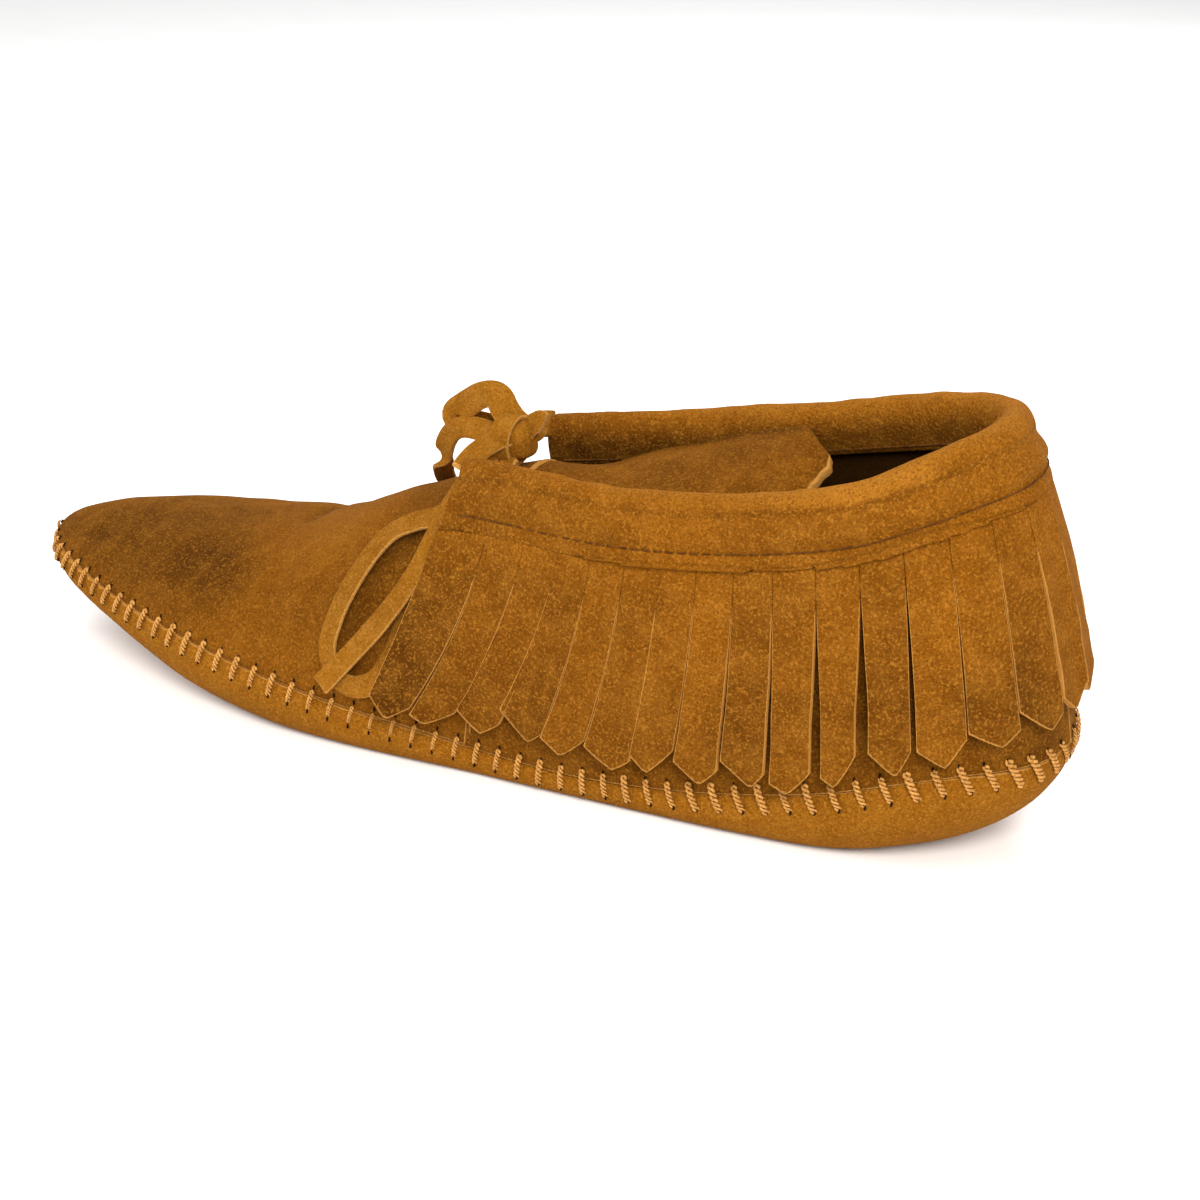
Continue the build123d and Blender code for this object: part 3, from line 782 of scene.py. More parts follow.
# %% Collar band
FOLD = [(-2.3, -12.0), (-2.7, -10.0), (-3.3, -7.5), (-3.6, -5.0), (-3.2, -2.4), (-2.0, -0.7),
        (0, 0.0), (2.1, -0.7), (3.5, -2.6), (4.2, -5.2)]
BAND_START, BAND_END = 0.65, 11.0
STITCHED_IN = ((8.2, 0.55), (10.4, -0.25), (11.2, -0.3), (12.6, 0.05))
BAND_ROWS, BAND_T = 62, 1.2
SKIRT_STAND = 3.0
SIDE_NAMES = ((1, "outer"), (-1, "inner"))


def skirt(u, z, side, share=0.0):
    """The outer face of the fringe leather; share is how far down a strip we are."""
    lift = 2.0 * np.clip(1 - np.clip(u - 0.9, 0, None) / 1.4, 0, 1)
    return wall(u, z, side, SKIRT_STAND + share * (1.0 + lift))


def band_profile(u, side):
    """One ring section of the band, from the inner hem over the fold to the slit line."""
    top = np.array([float(v) for v in rim(u, side)])
    nx, ny = (float(v) for v in wall_normal(u))
    fold = [(top[0] + nx * n, side * (top[1] + ny * n), top[2] + dz) for n, dz in FOLD]
    low = float(slit_z(u))
    rows = [tuple(wall(u, top[2] - dz, side, SKIRT_STAND + push)) for dz, push in STITCHED_IN]
    rest = [tuple(wall(u, z, side, SKIRT_STAND)) for z in np.linspace(top[2] - 14.5, low, 7)]
    keys = np.array(fold + rows + rest)
    run = np.concatenate([[0], np.cumsum(np.linalg.norm(np.diff(keys, axis=0), axis=1))])
    fine = np.linspace(0, run[-1], BAND_ROWS)
    return np.stack([curve(list(zip(run, keys[:, k])))(fine) for k in range(3)], -1)


us = np.linspace(BAND_START, BAND_END, 190)
sections = [band_profile(u, 1) for u in us] + [band_profile(u, -1) for u in us[::-1][1:]]
band = np.stack(sections)
normal = normals_of(band)
centre = np.array([60.0, 0, 0])
outer_rows = normal[:, 50, :2] * (band[:, 50, :2] - centre[:2])
normal *= np.sign(outer_rows.sum())
col = np.linspace(0, 1, BAND_ROWS)[None, :]
puff = np.exp(-((col - 0.42) / 0.13) ** 2)
upright = ripple(band * np.array([1, 1, 0.25]), 5.5, 2.0) * 0.28 * puff
wrinkle = upright + ripple(band, 20, 7.0) * 0.45
fade = np.clip((1 - col) / 0.15, 0, 1)
tuck = 0.15 * np.clip((col - 0.985) / 0.015, 0, 1)
band = band + normal * (wrinkle * fade - tuck)[..., None]
thin = BAND_T * np.clip((1 - col) / 0.03, 0.08, 1) * np.clip(col / 0.01, 0.5, 1)
rear = band - normal * thin[..., None]
edge = np.zeros(band.shape[:2])
edge[0], edge[-1], edge[:, 0] = 0.8, 0.8, 0.5
band_piece = sheet_mesh("collar_band", band, rear, edge)
station = np.concatenate([us, us[::-1][1:]])[:, None]
# Painted shade and highlight: the stitched groove is painted darker, and the top of the puffy fold
# lighter.
groove = 0.35 * np.exp(-((col - 0.60) / 0.02) ** 2) - 0.35 * np.exp(-((col - 0.42) / 0.09) ** 2)
# Painted highlight: the puffy fold is painted lighter around station 7, where the light falls on
# it.
stitch_wear_and_band_highlight = 0.45 * np.exp(-((station - 6.9) / 1.3) ** 2) * np.exp(-((col - 0.5) / 0.12) ** 2)
# Painted shade: the inner leg of the fold, inside the shoe, is painted darker.
inside = 0.6 * np.clip((0.28 - col) / 0.1, 0, 1)
tone = groove + inside - stitch_wear_and_band_highlight + 0.4 * np.exp(-((station - 1.4) / 1.5) ** 2)
set_tone(band_piece, np.concatenate([tone.ravel()] * 2))
# The shade value paints the same inner leg further towards black, as painted shade.
depth = 0.30 * np.clip((0.22 - col) / 0.2, 0, 1) + 0 * station
set_tone(band_piece, np.concatenate([depth.ravel(), depth.ravel()]), "shade")
finish_piece(band_piece, FRINGE, "fringe_band")
print("band has", len(band_piece.data.polygons), "faces")

# %% [markdown]
# ## The fringe
# The slits part the skirt into strips with pointed tips.
# Python lays out the outer face of each strip over the side wall.
# A Geometry Nodes tree then gives every strip its thickness and a slight curl.
# A tree suits them because all 32 strips get their thickness and curl by one rule.

# %% Fringe tree
def node_input(tree, name, kind, value=None):
    made = tree.interface.new_socket(name=name, in_out="INPUT", socket_type=kind)
    if value is not None:
        made.default_value = value
    return made


def named(tree, kind, name):
    node = tree.nodes.new("GeometryNodeInputNamedAttribute")
    node.data_type = kind
    node.inputs["Name"].default_value = name
    return node.outputs[0]


def vector_scale(tree, vector, factor):
    node = tree.nodes.new("ShaderNodeVectorMath")
    node.operation = "SCALE"
    tree.links.new(vector, node.inputs[0])
    if isinstance(factor, (int, float)):
        node.inputs["Scale"].default_value = factor
    else:
        tree.links.new(factor, node.inputs["Scale"])
    return node.outputs[0]


def build_strip_tree():
    tree = bpy.data.node_groups.new("Cut strip", "GeometryNodeTree")
    node_input(tree, "Geometry", "NodeSocketGeometry")
    node_input(tree, "Thickness", "NodeSocketFloat", 0.0014)
    node_input(tree, "Curl", "NodeSocketFloat", 0.0006)
    node_input(tree, "Waviness", "NodeSocketFloat", 0.0008)
    node_input(tree, "Seed", "NodeSocketFloat", 1.0)
    node_input(tree, "Material", "NodeSocketMaterial")
    tree.interface.new_socket(name="Geometry", in_out="OUTPUT", socket_type="NodeSocketGeometry")
    into, out = tree.nodes.new("NodeGroupInput"), tree.nodes.new("NodeGroupOutput")
    outward_dir = named(tree, "FLOAT_VECTOR", "out")
    across, down = named(tree, "FLOAT", "across"), named(tree, "FLOAT", "down")
    curl = math_node(tree, "MULTIPLY", math_node(tree, "POWER", across, 2.0), into.outputs["Curl"])
    wave = tree.nodes.new("ShaderNodeTexNoise")
    wave.noise_dimensions = "4D"
    wave.inputs["Scale"].default_value = 70
    tree.links.new(into.outputs["Seed"], wave.inputs["W"])
    sway = math_node(tree, "MULTIPLY", math_node(tree, "SUBTRACT", wave.outputs["Fac"], 0.5),
                     into.outputs["Waviness"])
    bend = math_node(tree, "ADD", curl, math_node(tree, "MULTIPLY", sway, 2.0))
    amount = math_node(tree, "MULTIPLY", bend, down)
    move = tree.nodes.new("GeometryNodeSetPosition")
    tree.links.new(into.outputs["Geometry"], move.inputs["Geometry"])
    tree.links.new(vector_scale(tree, outward_dir, amount), move.inputs["Offset"])
    extrude = tree.nodes.new("GeometryNodeExtrudeMesh")
    extrude.mode = "FACES"
    extrude.inputs["Individual"].default_value = False
    backwards = math_node(tree, "MULTIPLY", into.outputs["Thickness"], -1.0)
    tree.links.new(move.outputs[0], extrude.inputs["Mesh"])
    tree.links.new(vector_scale(tree, outward_dir, 1.0), extrude.inputs["Offset"])
    tree.links.new(backwards, extrude.inputs["Offset Scale"])
    flip = tree.nodes.new("GeometryNodeFlipFaces")
    tree.links.new(move.outputs[0], flip.inputs["Mesh"])
    join = tree.nodes.new("GeometryNodeJoinGeometry")
    tree.links.new(extrude.outputs["Mesh"], join.inputs[0])
    tree.links.new(flip.outputs[0], join.inputs[0])
    merge = tree.nodes.new("GeometryNodeMergeByDistance")
    merge.inputs["Distance"].default_value = 0.00002
    tree.links.new(join.outputs[0], merge.inputs["Geometry"])
    smooth_faces = tree.nodes.new("GeometryNodeSetShadeSmooth")
    tree.links.new(merge.outputs[0], smooth_faces.inputs["Geometry"])
    cut = tree.nodes.new("GeometryNodeSetShadeSmooth")
    cut.inputs["Shade Smooth"].default_value = False
    tree.links.new(extrude.outputs["Side"], cut.inputs["Selection"])
    tree.links.new(smooth_faces.outputs[0], cut.inputs["Geometry"])
    real = tree.nodes.new("GeometryNodeRealizeInstances")
    tree.links.new(cut.outputs[0], real.inputs[0])
    paint = tree.nodes.new("GeometryNodeSetMaterial")
    tree.links.new(real.outputs[0], paint.inputs["Geometry"])
    tree.links.new(into.outputs["Material"], paint.inputs["Material"])
    tree.links.new(paint.outputs[0], out.inputs[0])
    return tree


def run_tree(obj, tree, **values):
    """Runs a Geometry Nodes tree on obj and keeps the result as its plain mesh."""
    modifier = obj.modifiers.new("nodes", "NODES")
    modifier.node_group = tree
    for item in tree.interface.items_tree:
        if item.item_type == "SOCKET" and item.in_out == "INPUT" and item.name in values:
            modifier[item.identifier] = values[item.name]
    depsgraph = bpy.context.evaluated_depsgraph_get()
    mesh = bpy.data.meshes.new_from_object(obj.evaluated_get(depsgraph))
    obj.modifiers.clear()
    old = obj.data
    obj.data = mesh
    bpy.data.meshes.remove(old)
    mesh.name = obj.name
    return obj


STRIP_TREE = build_strip_tree()
print("strip tree has", len(STRIP_TREE.nodes), "nodes")

# %% [markdown]
# The slits are about evenly spaced, but some gape wider, as worn fringe does.
# The tops of the first eight slits start a little further back than in the CAD model.

# %% Fringe strips
STRIPS = 16
STRIP_T = 0.0014


def skirt_stations(heights, first):
    """Station values that share the skirt into equal widths at the given heights."""
    u = np.linspace(first, LAST_STATION, 801)
    line = wall(u, heights(u), 1, SKIRT_STAND)
    run = np.concatenate([[0], np.cumsum(np.linalg.norm(np.diff(line, axis=0), axis=1))])
    return np.interp(np.linspace(0, run[-1], STRIPS + 1), run, u), run[-1] / STRIPS


ROOTS = skirt_stations(slit_z, 0.6)[0]
ROOTS[1:9] += 0.45 * (ROOTS[2] - ROOTS[1]) * np.linspace(1, 0.1, 8)
TIPS, TIP_W = skirt_stations(tip_z, 0.2)
GAPS = [0.0, 0.0, 0.1, 0, 0.1, 0, 0.1, 0.3, 1.2, 1.0, 2.4, 2.8, 1.0, 0.4, 0.3, 0.4, 0.4]
LENGTHS = [0.8, 0.4, 0, -0.6, 0.5, 0.9, -0.3, 0.2, -0.4, 1.0, 0.3, 0, 0.6, -0.4, 0.3, 0]
POINTS = [4.6, 3.4, 4.2, 5.2, 4.6, 4.0, 5.4, 4.4, 5.0, 3.6, 4.8, 5.6, 5.0, 4.2, 5.4, 4.6]
APEX = [0.1, -0.3, 0.2, 0.35, -0.15, 0.2, -0.25, 0.1, 0.3, -0.2, -0.35, 0.1, 0.0, 0.25, 0.4, 0.1]


def strip_side(k, share, gap_sign):
    """Station of slit k along a strip, pulled back by half the gap."""
    u = ROOTS[k] + (TIPS[k] - ROOTS[k]) * share ** (1.7 - 0.5 * k / STRIPS)
    low, high = max(k - 1, 0), min(k + 1, STRIPS)
    per_mm = (TIPS[high] - TIPS[low]) / (TIP_W * (high - low))
    gap = 0.10 + GAPS[k] * np.clip((share - 0.15) / 0.6, 0, 1)
    return u + gap_sign * 0.5 * gap * per_mm * (share > 0.02)


def strip_piece(k, side, name):
    share = np.concatenate([[-0.035], np.linspace(0, 1, 44)])
    across = np.array([-1, -0.93, -0.8, -0.6, -0.4, -0.2, 0, 0.2, 0.4, 0.6, 0.8, 0.93, 1.0])
    down = np.clip(share, 0, 1)
    left, right = strip_side(k, down, 1), strip_side(k + 1, down, -1)
    u = left[:, None] + (right - left)[:, None] * (across + 1)[None, :] / 2
    u = np.minimum(u, 11.0)
    point = POINTS[k] * np.abs(across - APEX[k]) ** 1.15 / (1 + abs(APEX[k])) ** 0.5
    tip = tip_z(u[-1]) - LENGTHS[k] * (1 if side > 0 else 0.6) + point
    z = slit_z(u) + (tip[None, :] - slit_z(u)) * share[:, None]
    points = skirt(u, z, side, down[:, None])
    nx, ny = wall_normal(u)
    out = np.stack([nx, side * ny, 0.12 + 0 * nx], -1)
    out /= np.linalg.norm(out, axis=-1, keepdims=True)
    points = points - out * np.interp(share, [-0.035, 0, 0.03], [0.8, 0.05, 0])[:, None, None]
    faces = grid_faces(*u.shape)
    if side < 0:
        faces = [tuple(reversed(f)) for f in faces]
    mesh = bpy.data.meshes.new(name)
    mesh.from_pydata((points.reshape(-1, 3) * MM).tolist(), [], faces)
    fields = {"across": np.abs(across)[None, :] + 0 * u, "down": down[:, None] + 0 * u}
    near_side = np.clip((np.abs(across) - 0.93) / 0.05, 0, 1)[None, :]
    side_edge = near_side * np.clip((down - 0.1) / 0.15, 0, 1)[:, None]
    fields["edge"] = np.maximum(side_edge, np.clip((share - 0.975) / 0.015, 0, 1)[:, None])
    below = np.clip(down / 0.2, 0, 1)[:, None]
    own_tone = 0.14 * np.cos(k * 2.3) + 0.12 + 0.35 * math.exp(-(k / 3) ** 2)
    fields["tone"] = own_tone * below + 0.5 * np.clip(down - 0.3, 0, 0.6)[:, None] + 0 * u
    for key, values in fields.items():
        layer = mesh.attributes.new(key, "FLOAT", "POINT")
        layer.data.foreach_set("value", values.astype(np.float32).ravel())
    layer = mesh.attributes.new("out", "FLOAT_VECTOR", "POINT")
    layer.data.foreach_set("vector", out.astype(np.float32).ravel())
    mesh.materials.append(FRINGE)
    obj = bpy.data.objects.new(name, mesh)
    bpy.context.scene.collection.objects.link(obj)
    return obj, points


for side, side_name in SIDE_NAMES:
    for k in range(STRIPS):
        node = f"fringe_{side_name}_{k + 1:02d}"
        body = f"strip_{side_name}_{k + 1:02d}"
        piece, outer_face = strip_piece(k, side, body + "_leather")
        run_tree(piece, STRIP_TREE, Thickness=STRIP_T,
                 Curl=0.0005 + 0.0003 * math.sin(k * 1.7 + side),
                 Waviness=0.0012, Seed=float(k + 20 * side), Material=FRINGE)
        outward(piece)
        finish_piece(piece, FRINGE, node, body=None)
        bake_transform(piece)

# %% [markdown]
# ## The tongue
# The tongue goes on from the instep and leans back into the opening.
# It could be a bent plane with a modifier.
# A smooth grid through 24 control points is used, because its two sides lean differently.

# %% Tongue
TONGUE_T = 1.5
TONGUE = np.array([[(7.0, -13.6, 57.2), (7.0, -5, 62.0), (7.0, 5, 62.4), (7.0, 13.6, 58.0)],
                   [(18, -14.5, 58), (18, -5, 62.2), (18, 5, 63.2), (18, 14.5, 60.8)],
                   [(30, -16, 58.4), (30, -5.5, 62.6), (30, 6, 65.4), (30, 16.5, 65.8)],
                   [(42, -17, 58), (42, -6, 62.8), (43, 6, 67.8), (43, 17.8, 70)],
                   [(53, -17.5, 57.5), (54, -6, 63), (56, 6.5, 70), (57, 18.4, 74.4)],
                   [(60, -16, 57.5), (65, -6, 64.4), (69, 7, 72.6), (71.5, 16, 77.8)]])


def surface(control, rows, cols):
    """A smooth grid through a small grid of control points."""
    a = np.arange(control.shape[0])
    b = np.arange(control.shape[1])
    first = np.stack([np.stack([curve(list(zip(a, control[:, j, k])))(rows) for k in range(3)], -1)
                      for j in b], 1)
    return np.stack([np.stack([curve(list(zip(b, first[i, :, k])))(cols) for k in range(3)], -1)
                     for i in range(len(rows))], 0)


rows, cols = crowd(90, 0.02) * 5, crowd(60, 0.04) * 3
grid = surface(TONGUE, rows, cols)
normal = normals_of(grid)
normal *= np.sign(normal[..., 2].sum())
end = (rows / 5)[:, None]
lean = ((cols / 3)[None, :] - 0.5) * 2
grid[..., 0] -= 30.0 * np.clip(np.abs(lean) - 0.55, 0, 1) ** 2 * np.clip((end - 0.85) / 0.15, 0, 1)
curl = np.clip((end - 0.90) / 0.10, 0, 1)
grid[..., 2] -= 4.5 * curl**2
grid[..., 0] += 1.2 * curl + 0.9 * curl * ripple(grid * [0.2, 1, 1], 3.0, 8.0)
grid = grid + normal * (0.7 * ripple(grid, 17, 4.0) + 0.4 * ripple(grid, 6, 1.0))[..., None]
rim_edge = np.clip((end - 0.985) / 0.01, 0, 1) + 0 * lean
rim_edge[:, 0] = rim_edge[:, -1] = 0.6
tongue = sheet_mesh("tongue_leather", grid, grid - normal * TONGUE_T, rim_edge)
paler_middle = 0.3 * np.exp(-((lean - 0.2) / 0.5) ** 2) * end
# Painted shadow: a dark line is painted along the far edge, where the tongue meets the far wall.
tone = 0.30 + 0.5 * np.exp(-((lean - 0.96) / 0.06) ** 2) - paler_middle
# Painted shade: the underside is painted darker, and its shade value takes it further towards
# black.
set_tone(tongue, np.concatenate([tone.ravel(), np.full(tone.size, 0.8)]))
set_tone(tongue, np.concatenate([np.zeros(tone.size), np.full(tone.size, 0.35)]), "shade")
finish_piece(tongue, UPPER, "tongue", body=None)
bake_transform(tongue)

# %% [markdown]
# ## The lace
# The lace is a flat ribbon of suede.
# A curve with a bevel would twist in ways that are hard to steer.
# So each ribbon is built ring by ring along its route, with a chosen direction for its face.
# It faces away from the leather below it, and near the knot it faces the front of the scene.

# %% Lace ribbons
def dome_normal(points):
    x = np.clip(points[:, 0], -125, 4)
    outer, inner, base, top = half_outer(x), half_inner(x), seam_z(x) - 3, ridge_z(x)
    mid, half = (inner - outer) / 2, (inner + outer) / 2
    n = np.stack([-0.25 + 0 * x, (points[:, 1] - mid) / half**2,
                  (points[:, 2] - base) / (top - base) ** 2], -1)
    n[:, 0] *= np.linalg.norm(n[:, 1:], axis=1)
    return n / np.linalg.norm(n, axis=1, keepdims=True)


def unit_rows(v):
    return v / np.maximum(np.linalg.norm(v, axis=1, keepdims=True), 1e-9)


def smooth_rows(v, times):
    for _ in range(times):
        v = np.concatenate([v[:1], (v[:-2] + v[1:-1] + v[2:]) / 3, v[-1:]])
    return v


def resample(points, step):
    run = np.concatenate([[0], np.cumsum(np.linalg.norm(np.diff(points, axis=0), axis=1))])
    keep = np.concatenate([[True], np.diff(run) > 1e-6])
    fine = np.linspace(0, run[-1], max(int(run[-1] / step), 8))
    return np.stack([np.interp(fine, run[keep], points[keep, k]) for k in range(3)], -1)


def ribbon(name, points, facing, width=LACE_W, thick=LACE_T, seed=0.0):
    """A flat strip with rounded edges along points, whose face looks along facing."""
    along_dir = unit_rows(np.gradient(points, axis=0))
    across = unit_rows(smooth_rows(np.cross(along_dir, facing), 6))
    across = unit_rows(across - along_dir * (across * along_dir).sum(1, keepdims=True))
    face = np.cross(across, along_dir)
    section = [(-1, 0), (-0.97, 0.7), (-0.85, 1), (-0.4, 1), (0, 1), (0.4, 1), (0.85, 1),
               (0.97, 0.7), (1, 0), (0.97, -0.7), (0.85, -1), (0.4, -1), (0, -1), (-0.4, -1),
               (-0.85, -1), (-0.97, -0.7)]
    wide = width / 2 * (1 + 0.06 * ripple(points, 5, seed))[:, None]
    rings = []
    for w, t in section:
        rings.append(points + across * (w * wide) + face * (t * thick / 2 + 0.25 * (w * w - 0.4)))
    grid = np.stack(rings, 1)
    rows, n = grid.shape[:2]
    faces = grid_faces(rows, n, wrap=True)
    faces += [tuple(range(n)), tuple((rows - 1) * n + k for k in reversed(range(n)))]
    edge = np.tile([0.8 if abs(w) > 0.9 else 0.0 for w, t in section], (rows, 1))
    edge[0], edge[-1] = 0.9, 0.9
    return new_piece(name, grid.reshape(-1, 3), faces, edge, 2)


TO_CAMERA = np.array([0.43, -0.81, 0.41])
SETTLED = {"lace_near": (0.02, 0.16), "lace_near_end": (0.0, 0.15), "lace_far": (0.98, 1.2),
           "lace_far_end": (0.2, 0.8)}
WIDTHS = {name: 6.2 if name == "lace_far" else LACE_W for name in LACES}
LACE_PIECES = {}
for name, route in LACES.items():
    points = resample(route, 0.5)
    begin, done = SETTLED[name]
    settled = np.clip((np.linspace(0, 1, len(points)) - begin) / (done - begin), 0, 1)[:, None]
    facing = unit_rows(TO_CAMERA * (1 - settled) + dome_normal(points) * settled)
    LACE_PIECES[name] = ribbon(name + "_suede", points, smooth_rows(facing, 10), WIDTHS[name],
                               seed=len(name))
    finish_piece(LACE_PIECES[name], LACE, name)
    print(name, "is", round(length_of(points), 1), "mm long")

# %% [markdown]
# ## The knot
# On the real shoe the knot is the lace itself, pulled tight.
# Modelling the whole tie would need a path that weaves through itself.
# A soft lump with one turn and a short tab of lace stands for it here.

# %% Knot
KNOT = np.array([2.4, -2.2, 69.4])


def lump(name, centre, radii, seed):
    lat, lon = np.linspace(0, np.pi, 34)[1:-1], np.linspace(0, 2 * np.pi, 56, endpoint=False)
    s, c = np.sin(lat)[:, None], np.cos(lat)[:, None]
    def power(v):
        return np.sign(v) * np.abs(v) ** 0.75
    directions = [power(s * np.cos(lon)), power(s * np.sin(lon)), power(c + 0 * lon)]
    grid = np.stack(directions, -1) * radii
    grid = grid * (1 + 0.09 * ripple(grid, 3.0, seed))[..., None] + centre
    n = len(lon)
    poles = [centre + [0, 0, radii[2]], centre - [0, 0, radii[2]]]
    points = np.concatenate([grid.reshape(-1, 3), poles])
    faces = grid_faces(len(lat), n, wrap=True)
    last = (len(lat) - 1) * n
    for k in range(n):
        faces.append((len(lat) * n, k, (k + 1) % n))
        faces.append((len(lat) * n + 1, last + (k + 1) % n, last + k))
    return new_piece(name, points, faces, np.zeros(len(points)))


knot = lump("knot_core", KNOT, (5.0, 4.4, 4.4), 1.0)
turn = np.linspace(0, 2 * np.pi, 70)
ring = np.stack([0.6 * np.cos(turn) * 0.5 + 0.2 * np.sin(turn), 4.9 * np.cos(turn),
                 5.1 * np.sin(turn)], -1)
wrap = ribbon("knot_wrap", KNOT + np.array([-0.8, 0, 0]) + ring, unit_rows(ring), 5.0, seed=3.0)
tab_points = KNOT + np.array([(2.0, 0.5, 1.0), (4.2, 0.6, 3.4), (6.0, 0.4, 4.9), (7.4, 0.2, 4.6)])
tab_curve = [steps(tab_points[:, k])(np.linspace(0, 3, 40)) for k in range(3)]
tab_line = resample(np.stack(tab_curve, -1), 0.4)
tab = ribbon("knot_tab", tab_line, np.tile([-0.3, -0.85, 0.4], (len(tab_line), 1)), 5.0, seed=5.0)
for piece in (knot, wrap, tab):
    finish_piece(piece, LACE, "lace_knot")
print("knot made of", knot.name, wrap.name, tab.name)

# %% [markdown]
# ## The lace in the tunnel
# Between the two front corners the lace runs inside the fold, round the heel.
# It is hidden, so it is a plain ribbon that follows the rim a few millimetres down.

# %% Tunnel lace
HALF_POINTS, TUNNEL_DROP = 120, 3.4
us = np.linspace(1.0, LAST_STATION, HALF_POINTS)
halves, looks = [], []
for side, order in ((1, 1), (-1, -1)):
    line = np.stack(rim(us, side), -1) * [1, side, 1] - [0, 0, TUNNEL_DROP]
    nx, ny = wall_normal(us)
    look = np.stack([nx, side * ny, 0 * nx], -1)
    halves.append(line[::order])
    looks.append(look[::order])
tunnel, look = np.concatenate(halves), np.concatenate(looks)
tunnel_once, look_once = (np.delete(rows, HALF_POINTS, 0) for rows in (tunnel, look))
held = ribbon("tunnel_lace", tunnel_once, look_once, 4.0, 1.1)
finish_piece(held, LACE, "lace_in_tunnel")
print("held lace is", round(length_of(tunnel)), "mm long")

# %% [markdown]
# ## The stitches
# One Geometry Nodes tree makes every thread.
# It twists two strands together, bows the stitch outward and sets it on each point.
# An array modifier could repeat a stitch too, but it cannot turn each one to its own surface.

